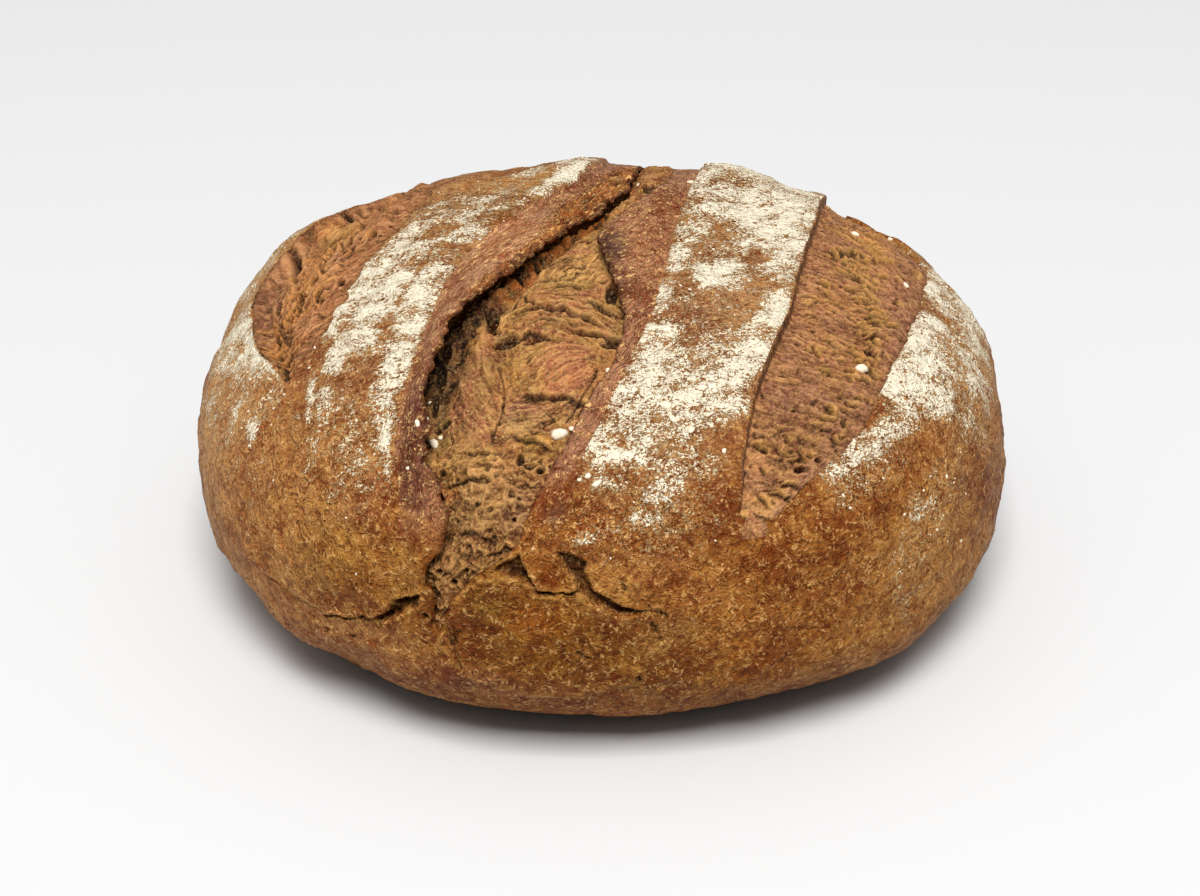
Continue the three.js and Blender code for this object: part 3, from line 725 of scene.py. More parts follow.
def flour_density(strip, place, turn):
    """Ovals laid over one another on each floured strip, fading to nothing under the belly."""
    density = np.zeros(place.shape)
    for floured, patches in FLOUR.items():
        for at_place, at_turn, reach, reach_turn, strength in patches:
            mark = oval(place, turn, at_place, at_turn, reach, reach_turn)
            mark = mark * abs(strength) * (strip == floured)
            density = density + (1 - density) * mark if strength > 0 else density * (1 - mark)
    return density * window(-30, 4, 180, 205, turn)


thick = flour_density(np.array([RIGHT_BAND]), np.array([0.4]), np.array([118.0]))
print("flour over the middle of the right band:", thick.round(2))

# %% A grid of vertex numbers becomes a closed mesh
MARGIN = 0.002  # of the UV square, left free on every side


def grid_mesh(name, points, numbers, attributes):
    """Every cell of the grid is a quad; with two equal corners a triangle, with fewer than three none.
    The UV follows the grid."""
    near, far = slice(None, -1), slice(1, None)
    corner = [(near, near), (near, far), (far, far), (far, near)]
    rows, columns = np.meshgrid(*[np.linspace(MARGIN, 1 - MARGIN, n) for n in numbers.shape], indexing="ij")
    cells = np.stack([numbers[c].ravel() for c in corner], -1)
    spots = np.stack([np.stack([columns[c].ravel(), rows[c].ravel()], -1) for c in corner], 1)
    keep = cells != np.roll(cells, 1, axis=1)
    count = keep.sum(1)
    good = count >= 3
    keep, count = keep[good], count[good]
    corners, uv = cells[good][keep], spots[good][keep]
    mesh = bpy.data.meshes.new(name)
    mesh.vertices.add(len(points))
    mesh.vertices.foreach_set("co", ((points + CENTRE_SHIFT) / 1000).astype(np.float32).ravel())
    mesh.loops.add(len(corners))
    mesh.loops.foreach_set("vertex_index", corners.astype(np.int32))
    mesh.polygons.add(len(count))
    mesh.polygons.foreach_set("loop_start", (np.cumsum(count) - count).astype(np.int32))
    mesh.update(calc_edges=True)
    mesh.uv_layers.new(name="OFBake").data.foreach_set("uv", uv.astype(np.float32).ravel())
    for title, values in attributes.items():
        if values.ndim == 2:
            flat = np.concatenate([values, np.ones((len(values), 1))], 1)
            layer = mesh.color_attributes.new(title, "FLOAT_COLOR", "POINT")
            layer.data.foreach_set("color", flat.astype(np.float32).ravel())
        else:
            layer = mesh.attributes.new(title, "FLOAT", "POINT")
            layer.data.foreach_set("value", values.astype(np.float32))
    mesh.polygons.foreach_set("use_smooth", np.ones(len(count), bool))
    mesh.validate()
    piece = bpy.data.objects.new(name, mesh)
    bpy.context.scene.collection.objects.link(piece)
    triangles = int((count - 2).sum())
    print(f"{name}: {len(points)} points, {triangles} triangles")
    return piece


def dressed(piece, material):
    """The piece takes its material, rides on the one body and stands for the plain solid."""
    piece.data.materials.append(material)
    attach(piece, "root")
    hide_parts("loaf")


# %% [markdown]
# ## The baked skin
# One closed grid goes right round the loaf: columns from tip to tip, rows from
# the foot up over the crown and down again. Under each lip the columns turn
# back, so the ears overhang the torn crumb as real ones do. Where the crumb
# shows, the skin only has a hidden floor, because the crumb is a finer piece.

# %% Points of the skin
NOSE_STEPS = np.array([0, 0.1, 0.2, 0.35, 0.55, 0.75, 0.9])
SKIN_COLUMNS = {LEFT_END: 34, LEFT_BAND: 46, LEFT_EAR: 24, RIGHT_EAR: 22, RIGHT_BAND: 54, RIGHT_END: 44}
SKIN_ROWS = [(-40, -4, 20), (-4, 24, 104), (24, 100, 142), (100, 150, 62), (150, 180, 22), (180, 220, 14)]
FOOT_ROWS = 8


def skin_columns():
    """Strip and place of every column between the tips; both end strips are finer towards their tip."""
    strips, places = [], []
    for strip in range(len(STRIPS)):
        if strip == BURST:
            under = NOSE * NOSE_STEPS
            place = np.concatenate([under, np.linspace(NOSE, 1 - NOSE, 7), 1 - under[:0:-1]])
        elif strip in (LEFT_SLASH, RIGHT_SLASH):  # a steep wall on either side
            place = np.concatenate([[0, 0.015], np.linspace(0.06, 0.94, 9), [0.985]])
        else:
            place = np.arange(SKIN_COLUMNS[strip]) / SKIN_COLUMNS[strip]
        if strip == LEFT_END:
            place = place[1:] ** 1.5
        if strip == RIGHT_END:
            place = 1 - (1 - place) ** 1.5
        strips.append(np.full(len(place), strip))
        places.append(place)
    return np.concatenate(strips), np.concatenate(places)


def ear_mask(strip, turn):
    """1 on both ears and on their lips, where the burst is open."""
    ear = np.isin(strip, [LEFT_EAR, RIGHT_EAR, BURST]) * openness(BURST, turn) * ramp(15, 23, turn)
    return ear * np.where(strip == RIGHT_EAR, ramp(19, 30, turn), 1)


def torn_lip(strip, place, turn):
    """1 on the last 4 mm of the left ear, and on more of it at the back, where skin tore away in crumbs."""
    starts = 0.66 - 0.4 * ramp(92, 114, turn)
    return (strip == LEFT_EAR) * ramp(0, 0.2, place - starts) * window(56, 68, 138, 146, turn)


def skin_point(strip, place, turn, left, right):
    """The dome, pushed out square to itself by the mark, the swellings, the relief and the cracks; no lift at
    the floor."""
    x, mark = marked_place(strip, place, turn, left, right)
    base = dome_point(x, row_angle(turn, x))
    relief = skin_relief(base, x, turn, strip)
    crack, inside, rim = front_marks(base, x, turn)
    density = flour_density(strip, place, turn)
    caked = 0.3 * density * ramp(-0.2, 0.5, unevenness(base, 4.0) + density - 0.5)
    on_nose = (strip == BURST) * ramp(0.25, 0.0, np.minimum(place, 1 - place))
    shown = strip != BURST
    torn = (0.9 * crests(base, 3.4, 2) + 0.6 * unevenness(base, 1.7)) * openness(BURST, turn)
    crumbled = torn_lip(strip, place, turn) * (1.7 * crests(base + 12, 3.4, 2) - 0.5)
    lift = mark + swell(base, x, turn) + shown * (relief + crack + caked) + on_nose * torn + crumbled
    point = pushed_out(base, lift)
    drawn = np.maximum(ear_mask(strip, turn), 0.8 * oval(x, turn, 4, 21, 26, 7) * (strip == RIGHT_BAND))
    return point, x, base, density, inside, rim, drawn


turns = [np.linspace(start, end, count, endpoint=False) for start, end, count in SKIN_ROWS]
turns = np.concatenate(turns + [[180 + UNDER]])
strips, places = skin_columns()
lines = edge_lines(turns)
strip_grid, turn_grid = np.broadcast_arrays(strips[None, :], turns[:, None])
place_grid = np.broadcast_to(places[None, :], strip_grid.shape)
left_grid, right_grid = lines[strips].T, lines[strips + 1].T
skin, skin_x, skin_base, density, inside, rim, drawn_out = skin_point(
    strip_grid, place_grid, turn_grid, left_grid, right_grid)
print("skin grid", skin.shape[:2], "lowest", skin[..., 2].min().round(3),
      "highest", skin[..., 2].max().round(2), "mm")

# %% Colour of the skin
def skin_tone(point, solid, x, turn, strip, place, inside, rim):
    """Skin and ear tones with gold and dark drifts, a scorched lip, painted shade under the lips, a foot edge
    darkened by scorch and painted shade, and brown crumb in the cracks, partly painted shade.
    """
    ear, crumbly = ear_mask(strip, turn), torn_lip(strip, place, turn)
    colour = mixed(toned(x, turn, "#925518", SKIN_TOUCHES), toned(x, turn, "#b47e5f", EAR_TOUCHES), ear)
    colour = drifted(colour, layered(point, 26.0, 4), "#bf8a48", 0.45, "#6a3b1a", 0.5)
    # the lip scorched, and behind it the skin of the left ear tore away in crumbs
    inward = np.select([strip == LEFT_EAR, strip == RIGHT_EAR, strip == BURST], [place, 1 - place, 1.0], 0.0)
    scorch = ear * ramp(0.86, 0.99, inward) * (0.7 + 0.5 * unevenness(point, 7.0)) * (1 - 0.8 * crumbly)
    colour = mixed(colour, "#47281c", np.clip(0.75 * scorch, 0, 1))
    # the crumbs are painted pale on the crests of their relief and dark between them: partly their own
    # colour, partly painted light and shade
    crumbs = mixed("#5a2d18", "#cc8444", ramp(-0.6, 0.3, crests(point + 12, 3.4, 2)))
    colour = mixed(colour, crumbs, 0.85 * crumbly * ear)
    below = np.minimum(place, 1 - place) / NOSE * (strip == BURST)  # 0 on the lip, 1 on the hidden floor
    torn_edge = mixed("#4a2212", "#bd6f32", ramp(-0.35, 0.35, unevenness(solid + 60, 1.8)))
    colour = mixed(colour, torn_edge, 0.85 * ear * ramp(0.02, 0.25, below))
    # from the underside of the lip down to the hidden floor the skin is painted nearly black: painted shade
    # under the lip
    colour = mixed(colour, "#220f07", 0.85 * ear * ramp(0.4, 0.8, below))
    # the walls of the outer slashes are brown, and the floor under their crumb is painted nearly black, as
    # painted shade
    from_side = np.minimum(place, 1 - place)
    for cut in (LEFT_SLASH, RIGHT_SLASH):
        in_cut = (strip == cut) * openness(cut, turn)
        colour = mixed(colour, "#57301f", 0.9 * in_cut * ramp(0, 0.02, from_side))
        colour = mixed(colour, "#1c0b05", 0.95 * in_cut * ramp(0.03, 0.08, from_side))
    colour = mixed(colour, "#c8924c", 0.6 * rim)
    # near the floor the skin is darkened almost to black: partly scorch from the hearth, partly painted shade
    # of the narrow gap under the belly
    scorched_and_shaded = 1 - ramp(1.5, 13.0, point[..., 2] + 3.0 * unevenness(point, 14.0))
    colour = mixed(colour, "#1c0f07", 0.96 * scorched_and_shaded)
    # cracks, tears and pores hold brown crumb, painted dark partly as their shade
    return mixed(colour, "#4f331c", np.clip(inside * (0.75 + 0.4 * unevenness(point, 2.2)), 0, 1))


skin_colour = skin_tone(skin_base, skin, skin_x, turn_grid, strip_grid, place_grid, inside, rim)
print("mean colour of the skin, linear:", skin_colour.reshape(-1, 3).mean(0).round(3))

# %% Close the skin with its foot and tips
rows, columns = strip_grid.shape
numbers = np.arange(rows * columns).reshape(rows, columns)
meets = np.linalg.norm(skin[-1] - skin[0], axis=-1) < 1e-6
numbers[-1, meets] = numbers[0, meets]
across_foot = (np.arange(1, FOOT_ROWS) / FOOT_ROWS)[:, None, None]
foot = skin[-1] + (skin[0] - skin[-1]) * across_foot
foot_numbers = rows * columns + np.arange((FOOT_ROWS - 1) * columns).reshape(FOOT_ROWS - 1, columns)
foot_numbers = np.where(meets, numbers[0], foot_numbers)
numbers = np.concatenate([numbers, foot_numbers, numbers[:1]])
first_tip = rows * columns + (FOOT_ROWS - 1) * columns
ends = np.ones((len(numbers), 1), int)
numbers = np.concatenate([first_tip * ends, numbers, (first_tip + 1) * ends], 1)
tips = np.array([[-WIDTH / 2, 0, BELLY], [WIDTH / 2, 0, BELLY]])


def with_foot(values, on_foot, at_tips):
    """Values of the skin, then the same number of values for the foot and the two tips."""
    values = values.reshape(rows * columns, -1)
    extra = np.broadcast_to(on_foot, ((FOOT_ROWS - 1) * columns, values.shape[1]))
    return np.concatenate([values, extra, np.broadcast_to(at_tips, (2, values.shape[1]))])


in_burst = (strip_grid == BURST) * ramp(0, 0.2, openness(BURST, turn_grid))
crust = grid_mesh("crust", np.concatenate([skin.reshape(-1, 3), foot.reshape(-1, 3), tips]), numbers, {
    "tone": with_foot(skin_colour, linear("#2a170c"), linear("#99622f")),
    "flour": with_foot(density, 0.12, 0.2)[:, 0],
    "drawn": with_foot(drawn_out, 0, 0)[:, 0],
    "cavity_shade": with_foot(np.maximum(inside, in_burst), 0, 0)[:, 0],
})

# %% [markdown]
# ## The torn crumb in the burst
# Inside the burst the dough tore while it was already setting, so it shows
# what skin never does: a round boulder of crumb, a lobe beside it, ledges
# like shingles, slits, and pores. It is one closed slab with a grid much finer
# than the skin's, its sides tucked under the lips and its base inside the loaf.

# %% Forms in the crumb
LUMPS = [  # X, turn, reach along X, reach along the turn, height in millimetres: flat-topped mounds
    (-12, 45.2, 11.5, 7.2, 2.4), (-35, 43, 6.5, 11, 2.2), (-36.5, 57, 4.2, 9, 2.4),
    (-21, 35.5, 8, 4.2, 1.4), (-30, 27, 10, 4.5, 1), (-11, 67.5, 12, 5.2, 1.8), (-15, 57.5, 10, 4.6, 1.5),
    (-36, 19, 6, 3, 0.8), (-26, 16.3, 4.5, 1.2, 1.2), (-3, 37, 4, 4, 1), (-18, 31.9, 4.5, 1, 1.4),
    (5, 114, 10, 10, 1.4),
]
LEDGES = [  # from X and turn to X and turn; in millimetres the rise behind, the groove before, and the fade
    ((-26, 64.6), (-10, 63.2), 1.3, 2.4, 5), ((-10, 62.6), (0, 57), 1.4, 2.4, 4),
    ((-26, 54.8), (-14, 53.4), 0.7, 1.4, 4), ((-8, 55.2), (6, 52.4), 1.4, 2.4, 3),
    ((-14, 73.4), (-6, 72), 1.2, 2, 4), ((-24, 78.5), (-8, 76), 0.7, 0.6, 5),
    ((-14, 94), (-3, 97), 0.7, 0.6, 5), ((-44, 25.8), (-33, 26.2), 0.9, 1, 3),
    ((-25, 32.6), (-14, 31), 0.7, 1.2, 2.5), ((-40, 19), (-30, 18.5), 0.6, 0.8, 3),
    ((-22, 40), (-4, 38.4), 0.6, 1.3, 3), ((-31, 16.6), (-22, 16), 0.9, 1.4, 2.5),
    ((-38, 30.6), (-28, 30.2), 0.5, 0.6, 3), ((-4, 66), (5, 60.5), 0.8, 0.9, 4),
    ((-20, 86), (-6, 88), 0.5, 0.5, 5),
]
SLITS = [  # points of X and turn, half width and depth: tears that run through the crumb
    ([(-29.5, 46), (-28, 43), (-27.4, 40), (-28, 37), (-29.4, 34.6), (-31, 31.5)], 0.22, 0.7),
    ([(-1.5, 45), (-3, 42.4), (-5.5, 39.5), (-8, 37), (-10, 35.4)], 0.4, 1.2),
    ([(-22.6, 73), (-22.8, 69.5), (-22, 66.8), (-20, 65.4)], 0.6, 1.6),
    ([(-19.5, 39), (-16, 37), (-13, 35.4)], 0.3, 0.7),
    ([(-18.4, 34.4), (-15.5, 35.2), (-13, 36)], 0.3, 0.7),
    ([(-12.4, 61), (-10.5, 59), (-8.4, 56.6)], 0.3, 0.8), ([(-4, 61.5), (0, 58.6), (4, 55)], 0.35, 0.8),
    ([(-2, 63.5), (2, 61), (5, 58.4)], 0.3, 0.7), ([(-24, 73), (-26.5, 66.5)], 0.5, 0.9),
    ([(-20, 90), (-10, 102), (-1, 112)], 0.8, 1),
]
SHEETS = [  # X, turn, reach along X and along the turn, height and spacing in millimetres, way of their edges
    (-14, 64, 15, 9, 1, 4.8, -6), (2, 60, 5, 9, 0.9, 2, 128), (-18, 34, 9, 4, 0.6, 2.4, 12),
    (-8, 37, 6, 3, 0.6, 2.2, 40), (-12, 80, 11, 8, 0.4, 3, 50), (-38, 58, 6, 9, 0.5, 2.4, 98),
    (-18, 25, 6, 3, 0.7, 2.6, -8), (10, 125, 14, 14, 0.8, 3.5, 0),
]
HOLES = [  # X, turn, reach along X, reach along the surface, depth in millimetres
    (-42.5, 62, 1.6, 2.6, 5), (-40, 66.5, 2.4, 1.6, 4.5), (-36.5, 69.5, 2.2, 1.6, 4.5),
    (-31, 73.5, 3, 1.8, 5), (-25.5, 77.5, 2.4, 1.4, 4), (-19, 84, 2.2, 1.2, 3), (-32.2, 63, 2.1, 7.5, 9),
    (-30.8, 58.8, 1.6, 2.4, 5), (-27.4, 53.8, 4.4, 4.6, 3.4), (-20, 52.7, 3.4, 2.2, 2.8),
    (-45.6, 54, 1.8, 5, 4), (-46.8, 47, 1.6, 5, 2.6), (-48.2, 40, 1.3, 4, 3), (-44.2, 36.2, 1.6, 1.4, 2.2),
    (-47, 35.6, 1, 1.4, 1.8), (-27.4, 39.8, 0.8, 0.8, 2.4), (-27.8, 38.3, 0.5, 0.9, 2.2),
    (-27.7, 37, 0.6, 0.8, 2), (-28.9, 35.2, 0.8, 1.3, 2.2), (-30.4, 33.4, 0.6, 1.2, 2),
    (-22.6, 29.4, 1.3, 2, 2.8), (-19.8, 28.3, 1.9, 1, 2.6), (-16.9, 27.6, 1.2, 1, 2.4),
    (-13.8, 28.2, 1.3, 0.7, 2), (-14.6, 26.3, 1.3, 1.3, 2.2), (-15, 62.3, 3.4, 1.3, 2.6),
    (-4.4, 60, 1.8, 1.2, 2), (2.4, 51.6, 3.2, 2.3, 3.4), (2.6, 69, 2, 6, 2.6), (-10.8, 72.6, 1.8, 0.8, 1.6),
    (-8.6, 51.6, 1, 0.8, 1.4), (-40.8, 11.8, 1.1, 1.1, 2), (-44.8, 13, 1, 1, 1.6), (-24, 21, 0.7, 0.7, 1.4),
    (-37, 13.8, 0.9, 0.8, 1.4), (-25.6, 14.9, 3, 0.8, 2), (-22.4, 15.8, 1, 0.7, 1.6),
    (-45.5, 24, 0.9, 1.2, 1.6), (-45, 27.8, 1.2, 1.4, 2), (-31.8, 30, 1, 0.6, 1.2),
    (-21.6, 41, 0.6, 0.5, 0.9), (-36, 70, 2.4, 2, 2.4), (-20, 75.5, 2.2, 1, 1.2), (0.5, 74.5, 1.6, 1.6, 2),
    (-17.5, 70.5, 0.8, 1.2, 0.9), (8, 118, 3, 1.2, 2), (15, 128, 2.6, 7, 3), (18, 137, 3.6, 1, 2),
]
BURST_PULLS = [  # X, turn, reach along X, reach along the turn, strength, degrees from +X towards the crown
    (-39, 54, 7, 14, 2.2, 100), (-35, 38, 7, 7, 1.6, 118), (-14, 66, 13, 8, 2, -6), (2, 60, 5, 9, 2.4, 128),
    (-5, 54, 6, 3, 2, 140), (-24, 70, 6, 8, 1.5, 75), (-28, 46, 4, 8, 1.5, 95), (-20, 36, 8, 4, 1.2, 8),
    (-10, 85, 12, 10, 1.6, 60), (6, 115, 16, 16, 1.8, 60), (-24, 25, 9, 4, 1, -15),
    (-38, 14, 6, 5, 1.2, 70), (-45, 44, 4, 12, 1.6, 88), (-10, 43, 10, 7, 1.5, 38), (-14, 49, 8, 3, 1.2, 8),
]
BURST_SWIRLS = [  # X, turn, reach in millimetres, strength
    (-10, 43.5, 15, 0.7), (-33, 25, 9, 1.2), (-11, 80, 8, 0.8),
]
CRUMB_TOUCHES = [  # X, turn, reach along X, reach along the turn, strength, colour
    (-30, 12, 26, 13, 0.95, "#472609"), (-40, 17, 8, 6, 0.4, "#84502c"), (-31, 18, 17, 8, 0.75, "#55300f"),
    (-25, 24, 12, 4, 0.4, "#875732"), (-13, 45, 11, 6.5, 0.8, "#b26c3c"), (-11, 43.5, 7, 5, 0.6, "#b86c4a"),
    (-36, 43, 6.5, 8, 0.97, "#723a22"), (-37, 57, 4, 9, 0.9, "#a96f2c"),
    (-30, 56.6, 1.6, 1.4, 0.9, "#d9b070"), (-47, 44, 2.6, 9, 0.95, "#4a3618"),
    (-27.5, 53.8, 4, 3.4, 0.95, "#573c14"), (-24, 47, 4, 5, 0.6, "#a87a34"),
    (-22, 36, 7, 4, 0.75, "#9a6a55"), (-8, 37.5, 4, 3, 0.5, "#7d5c40"), (-14, 58, 10, 4.5, 0.8, "#8f4c34"),
    (-11, 68, 11, 5, 0.8, "#8f5132"), (4, 58, 6, 8, 0.6, "#8a6436"), (-6, 84, 12, 11, 0.9, "#c99756"),
    (-20, 53, 3.5, 2, 0.8, "#8c3f18"), (-28, 68, 3.5, 7, 0.8, "#a5793c"), (-36, 32, 6, 4, 0.5, "#b58450"),
    (-30, 26, 9, 4, 0.6, "#b48850"), (-41, 28, 4, 4, 0.4, "#9a7a3a"), (-45, 35, 3, 4, 0.7, "#6e5c2c"),
    (-18, 32, 5, 1.2, 0.9, "#b8812e"), (-19, 28, 5, 2, 0.6, "#7a5a20"), (-17, 24, 4, 3, 0.5, "#936c4c"),
    (-24, 22, 4, 3, 0.6, "#8b6a55"), (-36, 21, 7, 4, 0.4, "#b3905c"), (-36, 14, 8, 4, 0.5, "#9a7440"),
    (-44, 14, 3, 5, 0.5, "#7a4a22"), (-26, 17.2, 5, 1.2, 0.8, "#b07a34"), (-25, 15, 4, 1.2, 0.8, "#5f4020"),
    (10, 120, 16, 12, 0.7, "#a56428"), (-13, 97, 6, 12, 0.6, "#7a5026"), (-28, 80, 6, 5, 0.6, "#7a5228"),
    (10, 140, 20, 16, 0.8, "#7d4420"), (12, 128, 7, 10, 0.7, "#8f5224"),
    (-43, 24.6, 3, 1.2, 0.8, "#a5581e"), (-33, 24, 6, 2, 0.4, "#c49a60"),
]
print("mounds, ledges, slits, holes:", len(LUMPS), len(LEDGES), len(SLITS), len(HOLES))


# %% Lift of the torn crumb
def mounds_lift(x, turn, mounds, wander, flat, foot):
    """Mounds with wandering rims, full up to flat reaches from their middle and gone at foot reaches."""
    lift = np.zeros(x.shape)
    for at_x, at_turn, reach_x, reach_turn, rise in mounds:
        away = np.hypot((x - at_x) / reach_x, (turn - at_turn) / reach_turn) + wander
        lift += rise * (1 - ramp(flat, foot, away))
    return lift


def ledge_lift(x, s, start, end, rise, dig, fade, wobble):
    """A shingle's edge from start to end: a steep rise behind it that fades away, and a groove before it;
    with the painted shade in that groove.
    """
    (x0, t0), (x1, t1) = start, end
    way = np.clip((x - x0) / (x1 - x0), 0, 1)
    sag = 0.9 * np.sin(np.pi * way)
    behind = s - (arc(t0) + (arc(t1) - arc(t0)) * way + sag) + wobble
    shows = window(x0 - 2, x0 + 2, x1 - 2, x1 + 2, x)
    shelf = rise * ramp(-0.3, 0.15, behind) * np.exp(-np.maximum(behind, 0) / fade)
    return shows * (shelf - dig * bell(behind, -0.8, 0.7)), shows * bell(behind, -0.55, 0.5) * min(dig, 1)


def between_edges(x, s, degrees, bend, spacing):
    """How far a place lies from one of many parallel edges, 0, to the next, 1; the bend shifts them."""
    beside = (s * np.cos(np.radians(degrees)) - x * np.sin(np.radians(degrees)) + bend) / spacing
    return beside - np.floor(beside)


def crumb_detail(point, x, turn):
    """Mounds, ledges, slits, holes, pores and roughness; with a mask of painted shade in what is deep inside.
    """
    s = arc(turn)
    wobble = wobbling(point)
    lift, dark = mounds_lift(x, turn, LUMPS, 0.10 * wobble, 0.35, 1.25), np.zeros(x.shape)
    # dark gathers painted shade: in the grooves before the ledges, in slits, along the edges of sheets, in
    # holes and in pores
    for start, end, rise, dig, fade in LEDGES:
        ledge, groove = ledge_lift(x, s, start, end, rise, dig, fade, wobble)
        lift, dark = lift + ledge, np.maximum(dark, groove)
    flat = np.stack([x, s], -1)
    for points, half, depth in SLITS:
        away = crack_distance(flat, points) + 0.6 * wobble * min(half, 1)
        slit = 1 - ramp(half * 0.3, half * 1.3, away)
        lift, dark = lift - depth * slit, np.maximum(dark, slit)
    for at_x, at_turn, reach_x, reach_turn, height, spacing, degrees in SHEETS:
        step = between_edges(x, s, degrees, 2.6 * wobble, spacing)
        edge = ramp(0, 0.09, step) * (1 - 0.8 * ramp(0.09, 1, step))
        shows = ramp(-0.2, 0.3, unevenness(point + 70, 5.0))
        shows = oval(x, turn, at_x, at_turn, reach_x, reach_turn) * shows
        lift = lift + height * shows * (edge - 0.4)
        dark = np.maximum(dark, shows * np.maximum(bell(step, 0.0, 0.11), bell(step, 1.0, 0.11)))
    for at_x, at_turn, reach_x, reach_s, depth in HOLES:
        away = np.hypot((x - at_x) / reach_x, (s - arc(at_turn)) / reach_s) + 0.22 * wobble
        hole = 1 - ramp(0.62, 1.0, away)
        lift = lift - depth * hole + 0.35 * bell(away, 1.3, 0.25)
        dark = np.maximum(dark, hole * min(1.0, 0.35 + 0.25 * depth))
    # the boulder and the lobe are calm, and the crumb low in the burst is stringy and full of pores
    calm = oval(x, turn, -11, 44, 11, 8) + 0.7 * oval(x, turn, -36, 44, 6, 9)
    rough = 1.0 + 0.25 * (1 - ramp(24, 34, turn)) - 0.55 * calm
    near, luck = bubbles(point, 2.3)
    pore = (luck > 0.7) * (1 - ramp(0.12, 0.42, near)) * (1 - 0.7 * ramp(26, 36, turn)) * (1 - calm)
    stringy = 1 - ramp(26, 33, turn)
    folds = (0.35 + 0.6 * stringy) * crests(warped(point, 1.6, 4.0), 4.2, 3)
    lift += rough * (0.65 * layered(point, 6.5, 3) + folds) - 0.9 * pore
    return lift, np.maximum(dark, 0.8 * pore)


def crumb_point(across, turn, left, right):
    """Place on the torn crumb; across runs from under the left lip to under the right one."""
    left_edge = left - 0.9 * through(LEFT_UNDERCUT, turn)
    right_edge = right + 0.9 * through(RIGHT_UNDERCUT, turn)
    x = left_edge + (right_edge - left_edge) * across
    base = dome_point(x, row_angle(turn, x))
    detail, dark = crumb_detail(base, x, turn)
    s = arc(turn)
    grains = (1.0, 2.6, 1.0), (2.2, 4.5, 2.0)
    threads = [combed(x, s, BURST_PULLS, BURST_SWIRLS, *grain) for grain in grains]
    detail = detail + 0.13 * threads[0] + 0.16 * threads[1]
    # on the steep wall under the lip the relief is drawn in the round, or it would be stretched
    steep = (1 - ramp(0.12, 0.22, across)) * window(58, 70, 122, 136, turn)
    wall = base + dome_normal(base) * (crumb_base(across, turn) * 1.2)[..., None]
    detail = detail * (1 - 0.8 * steep) + steep * (0.9 * crests(wall + 21, 3.2, 3) - 0.2)
    point = pushed_out(base, crumb_base(across, turn) + detail + swell(base, x, turn))
    return point, x, base, dark, detail, threads


print("from one edge to the next, every 2 mm:", between_edges(0, np.arange(0, 8, 2), 0, 0, 5.6).round(2))


# %% A slab: a fine top, one wide underside, and two caps
def slab_mesh(name, top, base, sunk_by, tone, dark):
    """The top grid, an underside of one quad per row that lies sunk_by below, and a fan on each end."""
    count = top.shape[0] * top.shape[1]
    numbers = np.arange(count).reshape(top.shape[:2])
    under = np.stack([top[:, 0], top[:, -1]], 1) - sunk_by * dome_normal(base)[:, [0, -1]]
    under_numbers = count + np.arange(2 * len(top)).reshape(-1, 2)
    numbers = np.concatenate([under_numbers[:, :1], numbers, under_numbers[:, 1:], under_numbers[:, :1]], 1)
    caps = np.array([under[0].mean(0), under[-1].mean(0)])
    first_cap = count + 2 * len(top)
    row = np.ones((1, numbers.shape[1]), int)
    numbers = np.concatenate([first_cap * row, numbers, (first_cap + 1) * row])
    hidden = 2 * len(top) + 2
    return grid_mesh(name, np.concatenate([top.reshape(-1, 3), under.reshape(-1, 3), caps]), numbers, {
        "tone": np.concatenate([tone.reshape(-1, 3), np.broadcast_to(linear("#3a1c0c"), (hidden, 3))]),
        "cavity_shade": np.concatenate([dark.ravel(), np.ones(hidden)]),
    })


BURST_COLUMNS = 148
BURST_SLAB, CUT_SLAB = 5.0, 9.0  # how far below its edges the underside of a slab lies, in millimetres
burst_turns = np.concatenate([
    np.linspace(5, 36, 170, endpoint=False),
    np.linspace(36, 76, 230, endpoint=False),
    np.linspace(76, 158, 240),
])
burst_lines = edge_lines(burst_turns)
across, burst_turn = np.broadcast_arrays(np.linspace(0, 1, BURST_COLUMNS)[None, :], burst_turns[:, None])
crumb, crumb_x, crumb_dome, crumb_dark, crumb_lift, crumb_threads = crumb_point(
    across, burst_turn, burst_lines[BURST][:, None], burst_lines[BURST + 1][:, None])
print("grid of the burst's crumb:", crumb.shape[:2])


# %% Colour of the torn crumb
def lit_and_shaded_relief(colour, lift, threads, deep, bright, finest=1.0):
    """Painted light and shade from the relief: crests and proud threads are painted paler towards bright, as
    lit, and hollows about 2 and 5 mm wide painted darker towards deep, as shaded.
    """
    below = 1.1 * (softened(lift, 2) - lift) + 0.7 * (softened(lift, 7) - lift)
    raised = 0.36 * threads[0] * finest + 0.22 * threads[1] - 0.85 * below - 0.1
    up, down = np.clip(raised, 0, 1)[..., None], np.clip(-raised, 0, 1)[..., None]
    pale, brown = 0.55 * linear(bright) + 0.7 * colour, 0.6 * linear(deep) + 0.12 * colour
    return colour + (pale - colour) * 0.75 * up + (brown - colour) * 0.9 * down


